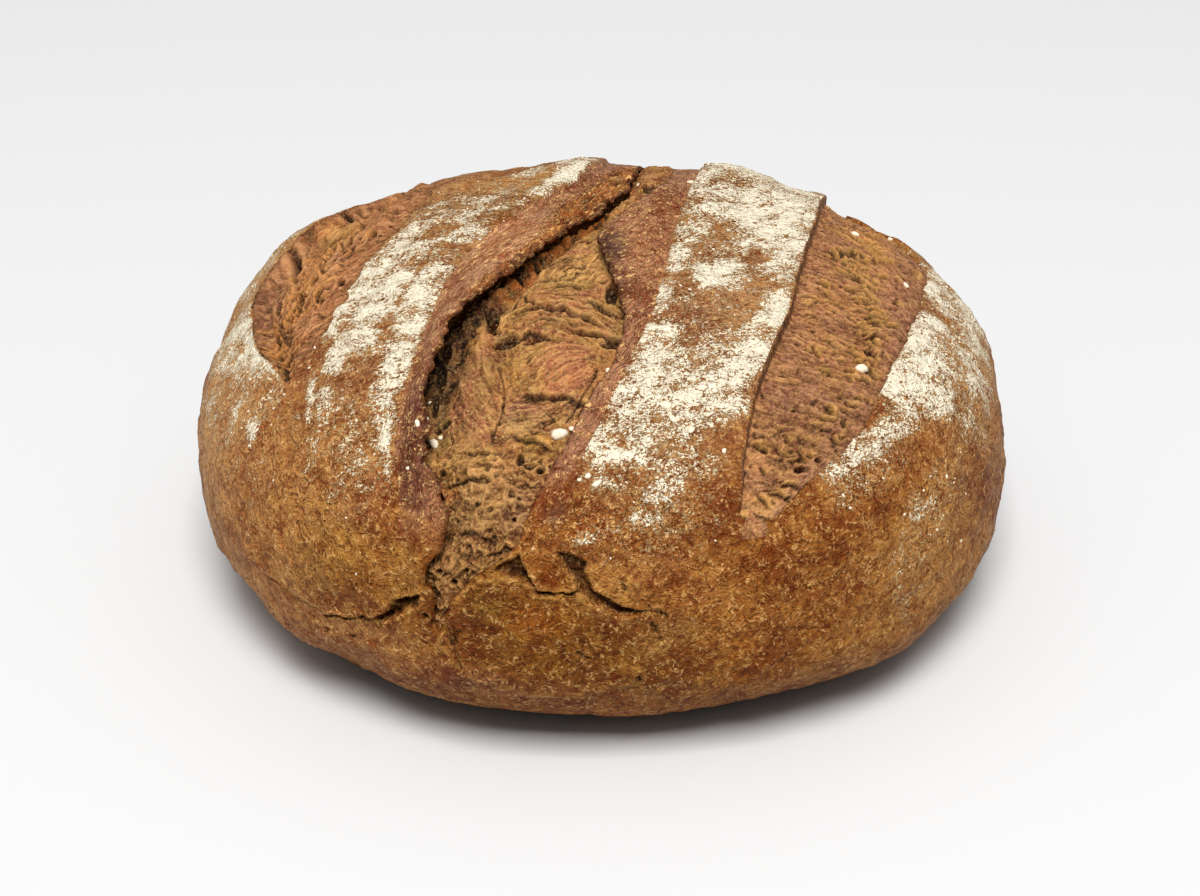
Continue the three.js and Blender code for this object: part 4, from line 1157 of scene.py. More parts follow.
def crumb_tone(point, solid, x, turn, across, dark, lift, threads):
    """Tan crumb with its touches and drifts, and painted light and shade from its relief; a torn wall under
    the left lip painted dark, partly as its shade, and painted shade in the hollow under that lip and in the
    dark places; with how much shade is painted at each place."""
    colour = toned(x, turn, "#9c6233", CRUMB_TOUCHES)
    colour = drifted(colour, layered(point + 50, 9.0, 4), "#c8985c", 0.6, "#66341c", 0.85)
    low_down = 1 - ramp(20, 36, turn)
    pink, olive = ramp(-0.1, 0.5, layered(point + 90, 7.0, 3)), ramp(0.0, 0.5, layered(point + 130, 8.0, 3))
    colour = mixed(colour, "#9c5844", 0.6 * pink * (1 - 0.7 * low_down))
    colour = mixed(colour, "#8f7434", 0.45 * olive * (1 - 0.7 * low_down))
    colour = mixed(colour, "#84491f", 0.35 * low_down)
    # threads and crests are painted paler, as lit, and hollows darker, as shaded
    colour = lit_and_shaded_relief(colour, lift, threads, "#471a09", "#eab870")
    edge = 0.02 + 0.05 * unevenness(point, 3.0)
    flecked = ramp(-0.6, 0.3, unevenness(solid + 60, 2.6) + 0.5 * unevenness(solid, 1.2))
    # the torn wall under the left lip is painted dark brown with pale flecks: partly its torn crumb, partly
    # painted shade of the lip
    wall = ramp(64, 76, turn) * (1 - ramp(edge + 0.08, edge + 0.22, across)) * (1 - ramp(128, 140, turn))
    colour = mixed(colour, mixed("#33150a", "#b8692b", flecked), 0.9 * wall)
    # under the left lip the crumb is painted nearly black with a few flecks: painted shade of the lip, added
    # to the painted shade of slits and holes
    under_lip = (1 - ramp(edge + 0.09, edge + 0.23, across)) * ramp(30, 44, turn) * (1 - ramp(90, 106, turn))
    lip_shade = (1.0 - 0.3 * flecked) * under_lip * (1 - 0.85 * ramp(64, 74, turn))
    shade = np.clip(0.95 * dark + lip_shade, 0, 1)
    return mixed(colour, "#1a0904", shade), shade


crumb_colour, crumb_shade = crumb_tone(
    crumb_dome, crumb, crumb_x, burst_turn, across, crumb_dark, crumb_lift, crumb_threads)
burst_crumb = slab_mesh("burst_crumb", crumb, crumb_dome, BURST_SLAB, crumb_colour, crumb_shade)
burst_places = (crumb_x, burst_turn, crumb, crumb_dome)

# %% [markdown]
# ## The crumb of the two outer slashes
# The outer slashes opened less, so their crumb baked into a rough brown floor:
# torn fibres running across the cut, shallow pits, and a few deep holes. They
# are made as the burst is, a slab each, finer than the skin that frames them.

# %% Forms in the two slashes
LEFT_HOLES = [  # X, turn, reach along X, reach along the surface, depth in millimetres
    (-96.7, 113, 1.7, 13, 4.5), (-92.2, 83, 1.9, 3.4, 3.2), (-79.8, 110, 3, 7.5, 4.5),
    (-93, 66, 2.4, 2.6, 3.2), (-86.9, 122, 2.5, 2.6, 3.2), (-78, 125, 1.6, 4, 2.6), (-98.6, 66, 2, 3, 3.4),
    (-100, 59, 1.8, 2.4, 2.4), (-94.6, 50, 1.8, 2.8, 3), (-90.5, 46.2, 2, 2, 2.8), (-82, 134, 3.2, 1.8, 2),
    (-96, 55, 1.2, 2.2, 1.8), (-87, 112, 1, 4, 1.8), (-99, 84, 1.2, 5, 2.2), (-91, 75, 1.2, 3.4, 2.2),
    (-84, 76, 1.2, 2.4, 1.6), (-78, 82, 1.2, 2.4, 1.6), (-88, 57.6, 1.6, 1.2, 1.8), (-97, 74, 1.2, 3, 2.4),
]
LEFT_MOUNDS = [
    (-85, 92, 7, 16, 1.6), (-88, 66, 6, 8, 1.4), (-98, 92, 5, 14, 1.2), (-83, 124, 8, 6, 1.2),
    (-96, 72, 4, 7, 0.8), (-86, 53, 6, 4, 0.8),
]
RIGHT_HOLES = [
    (54, 28.6, 1.7, 1, 2.2), (59.5, 28.6, 1.3, 1.1, 2.4), (54.5, 27.2, 2.6, 1.1, 2.4),
    (50.6, 23, 1.2, 0.9, 2), (56, 24.9, 0.9, 0.7, 1.4), (80, 58, 1.5, 1.7, 2.4), (77.5, 52, 1.8, 3.2, 1.8),
    (88, 114, 3.4, 1.4, 2.2), (61, 72, 2.4, 1, 1.6), (76, 47, 1.6, 1, 1.2), (62, 33.4, 1.8, 0.8, 1.4),
    (55, 50, 1.8, 0.8, 1.4), (76, 92, 1.5, 0.9, 1.6), (86, 93, 1.2, 1.2, 1.8), (74.5, 100, 3, 1, 1.6),
    (62, 62, 1.4, 0.7, 1.2), (66, 55, 1.6, 0.7, 1.2), (86, 78, 1.2, 0.8, 1.4), (46, 24.5, 2.4, 0.6, 1.2),
    (51, 44, 1.6, 0.7, 1), (70, 38, 1.2, 0.8, 1.2), (73.5, 66, 2.6, 0.7, 1.2), (84, 103, 2.2, 0.9, 1.4),
]
RIGHT_MOUNDS = [
    (62, 42, 10, 5, 0.8), (70, 82, 11, 7, 0.9), (62, 56, 9, 4, 0.7), (76, 104, 12, 5, 1),
    (68, 66, 9, 3.5, 0.7), (58, 34, 8, 3, 0.7), (83, 62, 6, 8, 0.9), (86, 120, 8, 5, 1),
]
LEFT_TOUCHES = [  # X, turn, reach along X, reach along the turn, strength, colour
    (-83, 118, 7, 9, 0.85, "#b0802c"), (-102, 84, 5.5, 34, 0.8, "#7d4d3d"),
    (-80, 84, 6, 14, 0.6, "#b06a3e"), (-88, 92, 9, 16, 0.75, "#cf9058"), (-82, 104, 6, 10, 0.4, "#a06a55"),
    (-90, 58, 8, 6, 0.6, "#a05f2e"), (-88, 72, 7, 6, 0.7, "#c07c4c"), (-90, 48.5, 6, 2.5, 0.7, "#9a6a2a"),
    (-90, 140, 16, 8, 0.4, "#8f6040"), (-92, 100, 4, 6, 0.5, "#bd8344"),
]
RIGHT_TOUCHES = [
    (52, 33, 6, 5, 0.6, "#8a5a4e"), (62, 38, 8, 3, 0.5, "#9a5a3a"), (56, 30, 8, 2, 0.6, "#b07a38"),
    (60, 44, 10, 4, 0.4, "#96623a"), (58, 35, 14, 10, 0.85, "#693b27"), (72, 75, 12, 7, 0.4, "#b87f44"),
    (64, 62, 8, 4, 0.5, "#96583a"), (76, 84, 7, 5, 0.5, "#97604a"), (88, 70, 4, 26, 0.55, "#8a5546"),
    (84, 118, 9, 6, 0.5, "#a8702e"), (72, 100, 10, 5, 0.5, "#b0753c"), (62, 25, 8, 2, 0.5, "#8a5c50"),
    (50, 23, 8, 1.5, 0.7, "#a8742e"), (57, 82, 4, 26, 0.3, "#8c5a44"), (76, 52, 5, 6, 0.4, "#b06a34"),
]
LEFT_PULLS = [  # as in the burst
    (-84, 80, 20, 40, 1.2, 40), (-82, 115, 12, 14, 1.4, 70), (-102, 85, 10, 36, 4, 92),
]
RIGHT_PULLS = [
    (64, 60, 30, 45, 1.2, -28), (78, 110, 20, 20, 1.2, -40), (55, 24, 12, 5, 1.6, -12),
    (90, 80, 5, 40, 0.8, 80),
]
LEFT_CHAIN = [(47, 0.3), (58, 0.22), (68, 0.27), (83, 0.45), (116, 0.5)]  # turn, place across the slash
RIGHT_CHAIN = [(26, 0.55), (32, 0.8), (46, 0.83), (60, 0.72), (75, 0.57), (95, 0.38), (115, 0.6)]
CUTS = {  # what differs between the two slashes; angles are in degrees from +X towards the crown
    LEFT_SLASH: {
        "name": "left_slash_crumb", "rows": 420, "columns": 104, "turns": (42, 166),
        "floor": left_slash_floor, "holes": LEFT_HOLES, "mounds": LEFT_MOUNDS, "pulls": LEFT_PULLS,
        "scraps": 80, "stretched": 1.4, "chain": LEFT_CHAIN, "ways": (55, 115),
        "ribs": 52, "more torn": 0.0,
        "base": "#aa6c40", "touches": LEFT_TOUCHES, "bare": 0.35, "rims": "#cf8a44",
    },
    RIGHT_SLASH: {
        "name": "right_slash_crumb", "rows": 520, "columns": 118, "turns": (18, 172),
        "floor": right_slash_floor, "holes": RIGHT_HOLES, "mounds": RIGHT_MOUNDS, "pulls": RIGHT_PULLS,
        "scraps": 150, "stretched": 1.0, "chain": RIGHT_CHAIN, "ways": (-78, -8),
        "ribs": -14, "more torn": 0.3,
        "base": "#9f6846", "touches": RIGHT_TOUCHES, "bare": 0.6, "rims": "#dba457",
    },
}
RIB_SPACING = 5.6  # millimetres
SEEN_TURN, SEEN_ROWS = 118, 0.86  # most rows lie before this turn, in the share given here
for cut in CUTS.values():
    print(cut["name"], "holes, mounds, scraps:", len(cut["holes"]), len(cut["mounds"]), cut["scraps"])


# %% Lift of the two floors
def ribs(point, x, s, degrees):
    """Torn edges that cross the cut: a sawtooth with a steep side, bent by unevenness and broken into short
    arcs; with the slit before each."""
    bend = 4.5 * unevenness(point, 10.0) + 2.2 * unevenness(point + 9, 4.3) + 0.8 * unevenness(point, 1.7)
    step = between_edges(x, s, degrees, bend, RIB_SPACING)
    shows = ramp(-0.15, 0.35, unevenness(point + 70, 5.2) + 0.5 * unevenness(point + 70, 2.1))
    rib = shows * ramp(0, 0.14, step) * (1 - ramp(0.14, 0.75, step))
    return rib, shows * np.maximum(bell(step, 0.0, 0.12), bell(step, 1.0, 0.12))


def scraps(x, s, strip):
    """Short curved edges with a slit before each and a proud rim behind it, drawn by chance; three of four
    lie beside the chain."""
    cut = CUTS[strip]
    draw = np.random.default_rng(30 + strip)
    wobble = 0.35 * unevenness(np.stack([x, s, 0 * x], -1), 1.6)
    rim, slit = np.zeros(x.shape), np.zeros(x.shape)
    chain_turns, chain_places = zip(*cut["chain"])
    for number in range(cut["scraps"]):
        turn, place, near_chain = draw.uniform(20, 140), draw.uniform(0.08, 0.92), draw.normal()
        if number % 4:
            turn = draw.uniform(chain_turns[0], chain_turns[-1])
            place = np.interp(turn, chain_turns, chain_places) + 0.07 * near_chain
        edge = edge_lines(np.array([turn]), False)[:, 0]
        at_x = edge[strip] + (edge[strip + 1] - edge[strip]) * place
        way, half = np.radians(draw.uniform(*cut["ways"])), draw.uniform(1.1, 3.4) * cut["stretched"]
        bend, size = draw.uniform(-0.5, 0.5) / half, min(draw.uniform(0.6, 1.3), 1.0)
        dx, ds = x - at_x, s - arc(turn)
        along = dx * np.cos(way) + ds * np.sin(way)
        beside = ds * np.cos(way) - dx * np.sin(way) - bend * along**2 + wobble
        shows = size * (1 - ramp(0.45, 1.0, np.abs(along) / half))
        rim = np.maximum(rim, shows * ramp(-0.15, 0.15, beside) * np.exp(-np.maximum(beside, 0) / 1.2))
        slit = np.maximum(slit, shows * bell(beside, -0.5, 0.5))
    return rim, slit


def slash_point(strip, across, turn, left, right):
    """The slash's floor of the plain form, with mounds, torn fibres across the cut, holes and pores on it;
    with a mask of painted shade in slits, holes and pores and along both edges.
    """
    cut = CUTS[strip]
    x = left - 0.4 + (right - left + 0.8) * across
    place = (x - left) / (right - left)
    base = dome_point(x, row_angle(turn, x))
    s = arc(turn)
    wobble = wobbling(base)
    lift, dark = mounds_lift(x, turn, cut["mounds"], 0.12 * wobble, 0.6, 1.1), np.zeros(x.shape)
    for at_x, at_turn, reach_x, reach_s, depth in cut["holes"]:
        ragged = 0.28 * min(1, 3 / reach_s) ** 0.5 * wobble  # less on a long hole, which would break up
        away = np.hypot((x - at_x) / reach_x, (s - arc(at_turn)) / reach_s) + ragged
        hole = 1 - ramp(0.5, 1.05, away)
        lift, dark = lift - depth * hole + 0.35 * bell(away, 1.3, 0.25), np.maximum(dark, hole)
    near, luck = bubbles(base, 3.1)
    pore = (luck > 0.55) * (1 - ramp(0.1, 0.36, near))
    grains = (1.0, 2.2, 3.0 + strip), (2.2, 4.0, 4.0 + strip)
    threads = [combed(x, s, cut["pulls"], [], *grain) for grain in grains]
    curled = warped(base, 2.0, 4.0)
    # the crumb is torn in drifts, and less towards the right side of the cut
    torn = layered(base + 33, 9.0, 3) + cut["more torn"] - 0.9 * (1 - window(-0.1, 0.08, 0.66, 0.9, place))
    torn = 0.75 * ramp(-0.1, 0.5, torn)
    rib, rib_slit = ribs(base, x, s, cut["ribs"])
    scrap, scrap_slit = scraps(x, s, strip)
    slit = np.maximum(0.5 * torn * rib_slit, scrap_slit)
    relief = 0.6 * layered(base, 8.0, 3) + 0.25 * crests(curled, 2.4, 2) + 0.12 * threads[0]
    relief = relief + torn * (0.7 * rib + 0.2 * crests(curled, 4.8, 3) + 0.15 * threads[1])
    relief = relief + 1.7 * scrap - 1.7 * slit
    relief = relief + lift - 0.9 * pore * torn
    sides = window(0, 0.05, 0.94, 1, place)
    lift = cut["floor"](place, x - left, turn) + swell(base, x, turn) + relief * (0.25 + 0.75 * sides)
    lift = lift * openness(strip, turn) - 0.6 * (1 - openness(strip, turn))
    # painted shade in slits, holes and pores, and in a thin band along both edges where the skin steps down
    # into the cut
    dark = np.maximum(np.maximum(dark, 0.95 * slit), 0.8 * pore) * sides
    step = 0.6 * (1 - ramp(0.0, 0.035, place)) + 0.3 * (1 - ramp(0, 0.03, 1 - place))
    golden = np.maximum(0.4 * torn * rib, scrap)
    return pushed_out(base, lift), x, base, np.maximum(dark, step), relief, threads, torn, golden


places = np.meshgrid(np.linspace(44, 98, 60), np.linspace(arc(26.0), arc(115.0), 60))
proud = scraps(*places, RIGHT_SLASH)[0] > 0.2
print("share of the right slash on a proud scrap:", proud.mean().round(2))


# %% Both slashes as slabs
def slash_crumb(strip):
    """One slash: its grid, its colour from the touches and drift, and its slab."""
    cut = CUTS[strip]
    (front, back), in_front = cut["turns"], int(SEEN_ROWS * cut["rows"])
    turn_rows = np.concatenate([
        np.linspace(front, SEEN_TURN, in_front, endpoint=False),
        np.linspace(SEEN_TURN, back, cut["rows"] - in_front),
    ])
    edge = edge_lines(turn_rows)
    across, turn = np.broadcast_arrays(np.linspace(0, 1, cut["columns"])[None, :], turn_rows[:, None])
    top, x, base, dark, relief, threads, torn, golden = slash_point(
        strip, across, turn, edge[strip][:, None], edge[strip + 1][:, None])
    colour = toned(x, turn, cut["base"], cut["touches"])
    colour = drifted(colour, layered(base + 150, 8.0, 4), "#cb9356", 0.5, "#5f3626", 0.8)
    colour = mixed(colour, "#93614a", cut["bare"] * (1 - torn))
    # both calls paint light on the crests and threads, and shade in the hollows of the relief
    smooth = lit_and_shaded_relief(colour, relief, threads, "#4a2214", "#dca878", 1.5)
    colour = mixed(smooth, lit_and_shaded_relief(colour, relief, threads, "#3f1a0a", "#e8b268", 1.2), torn)
    colour = mixed(colour, cut["rims"], 0.85 * golden)
    # painted shade darkens the slits, holes, pores and both edges
    colour = mixed(colour, "#260f06", np.clip(1.1 * dark, 0, 0.95))
    return slab_mesh(cut["name"], top, base, CUT_SLAB, colour, dark), (x, turn, top, base)


left_crumb, left_places = slash_crumb(LEFT_SLASH)
right_crumb, right_places = slash_crumb(RIGHT_SLASH)

# %% [markdown]
# ## Lumps of flour
# Where damp flour clotted in the basket, small white lumps stick to the skin
# and lie in the cuts. Each is a squashed ball of a few faces, and all of them
# are one mesh. The large ones stand where they caught, the crumbs by chance.

# %% Place the lumps
LUMPS_OF_FLOUR = [  # X, turn, reach in millimetres
    (-12, 33.3, 2.3), (-48, 33.2, 1.6), (-50.4, 33.4, 1.1), (-46.2, 34.4, 0.8), (-1.3, 25.7, 1.4),
    (-4, 26.4, 1), (-8.4, 34.2, 1.1), (1.8, 44.8, 1.2), (-50.8, 38.6, 0.8), (-49.9, 42.1, 0.7),
    (-6, 26, 0.7), (19.2, 34.5, 1.4), (12, 133, 1.2), (28.8, 133, 1.3), (80, 118, 1.5), (92.5, 91, 1.2),
    (93.7, 133, 1.3), (73.8, 47.3, 1.9), (-53, 27, 0.7), (17, 37, 1.7), (24, 33, 1.3), (27, 40, 1.5),
    (84, 42, 1.4), (-58, 44, 1.1), (62, 26, 0.8), (33, 30, 0.9),
]
CRUMBS_OF_FLOUR = 150


def surface_places(spots):
    """The nearest shown vertex for each X and turn, and the way out of the dome there."""
    shown = strip_grid != BURST
    for cut in (LEFT_SLASH, RIGHT_SLASH):
        shown = shown & ((strip_grid != cut) | (openness(cut, turn_grid) < 0.01))
    sheets = [(skin_x[shown], turn_grid[shown], skin[shown], skin_base[shown])]
    for cut in (burst_places, left_places, right_places):
        sheets.append(tuple(part.reshape(-1, *part.shape[2:]) for part in cut))
    all_x, all_turn, all_points, all_base = [np.concatenate(parts) for parts in zip(*sheets)]
    nearest = [np.argmin((all_x - x) ** 2 + (2.0 * (all_turn - turn)) ** 2) for x, turn in spots]
    return all_points[nearest], dome_normal(all_base[nearest])


def ball(sides=7, rings=4):
    """Points of a coarse unit ball, pole to pole, and its faces."""
    angles = np.pi * np.arange(1, rings) / rings
    rounds = 2 * np.pi * np.arange(sides) / sides
    belts = [(math.sin(a) * math.cos(b), math.sin(a) * math.sin(b), math.cos(a))
             for a in angles for b in rounds]
    points = [(0, 0, 1), *belts, (0, 0, -1)]
    faces = [(0, 1 + k, 1 + (k + 1) % sides) for k in range(sides)]
    for ring in range(rings - 2):
        low, high = 1 + ring * sides, 1 + (ring + 1) * sides
        faces += [(low + k, high + k, high + (k + 1) % sides, low + (k + 1) % sides) for k in range(sides)]
    last, pole = 1 + (rings - 2) * sides, 1 + (rings - 1) * sides
    faces += [(last + (k + 1) % sides, last + k, pole) for k in range(sides)]
    return np.array(points), faces


def flour_lumps():
    """Every lump is the ball, squashed along the way out, turned, made uneven and set half into the crust."""
    draw = np.random.default_rng(11)
    spots = [(x, turn) for x, turn, _ in LUMPS_OF_FLOUR]
    reaches = [reach for _, _, reach in LUMPS_OF_FLOUR]
    while len(spots) < len(LUMPS_OF_FLOUR) + CRUMBS_OF_FLOUR:
        x, turn, luck = draw.uniform(-112, 112), draw.uniform(6, 150), draw.uniform()
        edges = edge_lines(np.array([turn]))[:, 0]
        strip = min(int(np.searchsorted(edges, x)) - 1, 8)
        place = (x - edges[strip]) / (edges[strip + 1] - edges[strip])
        thick = flour_density(np.array([strip]), np.array([place]), np.array([turn]))[0]
        if strip in FLOUR and luck < 0.08 + 1.6 * thick * (1 - thick):
            spots.append((x, turn))
            reaches.append(draw.uniform(0.3, 0.6))
    points, outward = surface_places(spots)
    shape, faces = ball()
    vertices, polygons = [], []
    for point, out, reach in zip(points, outward, reaches):
        side = np.cross(out, draw.normal(size=3))
        side /= np.linalg.norm(side)
        squash = np.array([draw.uniform(0.9, 1.3), draw.uniform(0.6, 0.9), draw.uniform(0.35, 0.6)])
        local = shape * (1 + draw.uniform(-0.22, 0.22, (len(shape), 1))) * squash * reach
        turned = local @ np.array([side, np.cross(out, side), out])
        polygons += [tuple(len(vertices) + corner for corner in face) for face in faces]
        vertices += list((point + 0.12 * reach * out + turned + CENTRE_SHIFT) / 1000)
    mesh = bpy.data.meshes.new("flour_lumps")
    mesh.from_pydata([tuple(v) for v in vertices], [], polygons)
    mesh.polygons.foreach_set("use_smooth", np.ones(len(polygons), bool))
    piece = bpy.data.objects.new("flour_lumps", mesh)
    bpy.context.scene.collection.objects.link(piece)
    print("lumps and crumbs of flour:", len(spots), "with", len(faces), "faces each")
    return piece


lumps = flour_lumps()

# %% [markdown]
# ## Materials
# Bread is dull: light goes a little way in and comes back brown, and only a
# bare crust has a faint sheen. Each material starts from the tone on the mesh
# and adds what is finer than the mesh: freckles, thin pale fibres, flour.

# %% Adding a node
RECIPES = {  # kind of node, its settings, the inputs that its values fill in turn, and the output
    "plus": ("Math", {"operation": "ADD"}, (0, 1), 0),
    "minus": ("Math", {"operation": "SUBTRACT"}, (0, 1), 0),
    "clamped minus": ("Math", {"operation": "SUBTRACT", "use_clamp": True}, (0, 1), 0),
    "times": ("Math", {"operation": "MULTIPLY"}, (0, 1), 0),
    "divided by": ("Math", {"operation": "DIVIDE"}, (0, 1), 0),
    "size": ("Math", {"operation": "ABSOLUTE"}, (0,), 0),
    "larger": ("Math", {"operation": "MAXIMUM"}, (0, 1), 0),
    "spread": ("MapRange", {"interpolation_type": "SMOOTHSTEP"}, (0, 1, 2, 3, 4), 0),
    "between": ("Mix", {"data_type": "FLOAT"}, (0, 2, 3), 0),
    "mix": ("Mix", {"data_type": "RGBA", "blend_type": "MIX"}, (0, 6, 7), 2),
    "tint": ("Mix", {"data_type": "RGBA", "blend_type": "MULTIPLY"}, (0, 6, 7), 2),
    "noise": ("TexNoise", {}, ("Vector", "Scale", "Detail", "Roughness", "Distortion"), "Fac"),
    "cells": ("TexVoronoi", {"feature": "F1"}, ("Vector", "Scale"), None),
    "drawn out": ("Mapping", {"vector_type": "TEXTURE"}, ("Vector", "Rotation", "Scale"), 0),
    "colour on mesh": ("Attribute", {}, (), "Color"),
    "number on mesh": ("Attribute", {}, (), "Fac"),
    "place": ("TexCoord", {}, (), "Object"),
    "way out": ("TexCoord", {}, (), "Generated"),
    "enlarged": ("VectorMath", {"operation": "SCALE"}, (0, "Scale"), 0),
    "height of": ("SeparateXYZ", {}, (0,), "Z"),
    "bump": ("Bump", {}, ("Height", "Distance", "Strength"), 0),
    "shader": ("BsdfPrincipled", {}, (), None),
    "end": ("OutputMaterial", {}, ("Surface",), None),
}


def add(tree, recipe, *values, **settings):
    """A node by its recipe, with numbers, hex colours or other nodes' outputs as values; gives its output."""
    kind, fixed, sockets, output = RECIPES[recipe]
    node = tree.nodes.new("ShaderNode" + kind)
    for key, value in {**fixed, **settings}.items():
        setattr(node, key, value)
    for socket, value in zip(sockets, values):
        if isinstance(value, bpy.types.NodeSocket):
            tree.links.new(value, node.inputs[socket])
        else:
            node.inputs[socket].default_value = (*linear(value), 1.0) if isinstance(value, str) else value
    return node if output is None else node.outputs[output]


def started(name):
    """An empty material, a way to add nodes to it, its shader, and a place in millimetres."""
    material = bpy.data.materials.new(name)
    material.use_nodes = True
    material.node_tree.nodes.clear()
    node = partial(add, material.node_tree)
    shader = node("shader")
    node("end", shader.outputs[0])
    return material, node, shader, node("enlarged", node("place"), 1000.0)


def finished(shader, links, values):
    """Links outputs to the shader's sockets, and sets values on others."""
    for socket, output in links.items():
        shader.id_data.links.new(output, shader.inputs[socket])
    for socket, value in values.items():
        shader.inputs[socket].default_value = value


def fibres(node, place, size, width, distortion):
    """Thin curly lines: where distorted noise passes through its middle value."""
    wave = node("noise", place, 1 / size, 2.0, 0.5, distortion)
    away = node("size", node("minus", wave, 0.5))
    return node("spread", away, 0.3 * width, width, 1.0, 0.0)


def creases(node, place, size, width, distortion):
    """Curly ridges with a sharp crest: 1 where the noise passes through its middle value, 0 a width away."""
    wave = node("noise", place, 1 / size, 1.0, 0.5, distortion)
    away = node("size", node("minus", wave, 0.5))
    return node("clamped minus", 1.0, node("divided by", away, width))


def raised(node, total, noise, weight):
    """A total plus how far a noise is from its middle value, weighted."""
    return node("plus", total, node("times", node("minus", noise, 0.5), weight))


print("kinds of node:", ", ".join(RECIPES))


# %% Baked crust with rice flour
def baked_crust():
    """Crust: thin dry dough browned in a hot oven, so matte with a faint sheen; rice flour: a dull white
    powder, caked and cracked."""
    material, node, shader, place = started("baked_crust_with_rice_flour")
    tone = node("colour on mesh", attribute_name="tone")
    flour, cavity_shade, pulled = [
        node("number on mesh", attribute_name=name) for name in ("flour", "cavity_shade", "drawn")]
    # browning drifts over 16 mm, and blotches of 4 mm where small bubbles lay under the skin
    drift = node("noise", place, 1 / 16, 5.0, 0.6, 0.6)
    blotch = node("noise", place, 1 / 4, 6.0, 0.68, 0.8)
    grain = node("noise", place, 1 / 1.1, 4.0, 0.65)
    darker = node("tint", 1.0, tone, "#b47c52")
    colour = node("mix", node("spread", drift, 0.42, 0.66, 0.0, 0.7), tone, darker)
    colour = node("mix", node("spread", blotch, 0.50, 0.66, 0.0, 0.75), colour, darker)
    golden = node("mix", 0.5, tone, "#c98f3c")
    colour = node("mix", node("spread", blotch, 0.48, 0.32, 0.0, 0.6), colour, golden)
    # the skin dried in curly wrinkles 1 to 3 mm apart: their crests are painted pale, partly their own colour
    # and partly painted highlight, and between them reddish and dark, partly painted shade
    wide, fine = creases(node, place, 3.4, 0.17, 1.6), creases(node, place, 1.5, 0.2, 1.2)
    wrinkle = node("plus", node("times", wide, 0.6), node("times", fine, 0.4))
    reddish_and_shaded = node("tint", 1.0, tone, "#84502e")
    colour = node("mix", node("spread", wrinkle, 0.45, 0.12, 0.0, 0.7), colour, reddish_and_shaded)
    # on the ears the wrinkles are strands, drawn out at 60 degrees from X
    along = node("drawn out", place, (0, 0, math.radians(60)), (3.2, 1.0, 1.0))
    wrinkle = node("between", pulled, wrinkle, creases(node, along, 1.2, 0.17, 0.9))
    broken = node("spread", node("noise", place, 1 / 2.6, 2.0, 0.5), 0.44, 0.58)
    stronger = node("plus", 0.85, node("times", pulled, 0.4))
    crest = node("times", node("spread", wrinkle, 0.66, 0.9), node("times", broken, stronger))
    pale_and_lit = node("mix", 0.62, tone, "#f9ca82")
    colour = node("mix", node("times", crest, 0.78), colour, pale_and_lit)
    # blisters of about a millimetre, paler than the skin round them
    blisters = node("cells", place, 1 / 1.9)
    some = node("spread", blisters.outputs["Color"], 0.6, 0.68)
    fleck = node("times", node("spread", blisters.outputs["Distance"], 0.16, 0.3, 1.0, 0.0), some)
    paler = node("mix", 0.65, tone, "#f0be78")
    colour = node("mix", node("times", fleck, 0.6), colour, paler)
    # flour lies in drifts along the loaf, thick and white in their middle, thin and cracked at their rims
    stretched = node("drawn out", place, (0, 0, math.radians(24)), (1.25, 1.0, 1.0))
    worn = node("noise", stretched, 1 / 7, 2.0, 0.5, 0.5)
    frayed = node("noise", stretched, 1 / 2, 3.0, 0.55, 1.8)
    speck = node("noise", place, 1 / 0.75, 2.0, 0.6)
    cover = node("minus", flour, 0.26)
    for noise, weight in ((worn, 1.7), (frayed, 1.5), (speck, 0.8)):
        cover = raised(node, cover, noise, weight)
    # where a bubble in the flour broke, a pinhole shows the crust
    pinholes = node("cells", stretched, 1 / 2.6)
    some = node("spread", pinholes.outputs["Color"], 0.5, 0.6)
    pinhole = node("times", node("spread", pinholes.outputs["Distance"], 0.1, 0.24, 1.0, 0.0), some)
    cover = node("minus", cover, node("times", pinhole, 0.7))
    wide, fine = creases(node, stretched, 3.6, 0.075, 2.4), creases(node, stretched, 1.7, 0.07, 1.8)
    crackle = node("larger", wide, fine)
    crackle = node("times", crackle, node("spread", cover, 1.1, 0.45, 0.25, 1.0))
    cover = node("minus", cover, node("times", crackle, 0.7))
    # a thin film shows first, then the cake, which is yellowish where it is thin
    there = node("spread", flour, 0.02, 0.2)
    film = node("times", node("spread", raised(node, cover, speck, 1.6), -0.4, 0.14), there)
    caked = node("times", node("spread", cover, 0.0, 0.2), there)
    powder = node("mix", node("spread", cover, 0.08, 0.42), "#ddb67c", "#f9eed5")
    colour = node("mix", node("times", film, 0.5), colour, "#e4ba80")
    colour = node("mix", node("times", caked, 0.95), colour, powder)
    # cracks, pores and the skin hidden in the burst are painted darker: painted shade
    shaded = node("tint", 1.0, tone, "#a08068")
    colour = node("mix", node("times", cavity_shade, 0.5), colour, shaded)
    height = node("plus", node("times", blotch, -0.9), node("times", grain, 0.35))
    marks = node("plus", node("times", wrinkle, 0.75), node("times", fleck, 0.2))
    cake = node("times", caked, node("plus", 0.3, node("times", frayed, 0.9)))
    height = node("plus", node("plus", height, marks), cake)
    rough = node("between", caked, node("spread", blotch, 0.3, 0.7, 0.42, 0.62), 0.95)
    links = {"Base Color": colour, "Roughness": rough, "Normal": node("bump", height, 0.001, 1.0)}
    finished(shader, links, {"IOR": 1.45, "Specular IOR Level": 0.1})
    return material


dressed(crust, baked_crust())
print("nodes in the crust's material:", len(crust.active_material.node_tree.nodes))


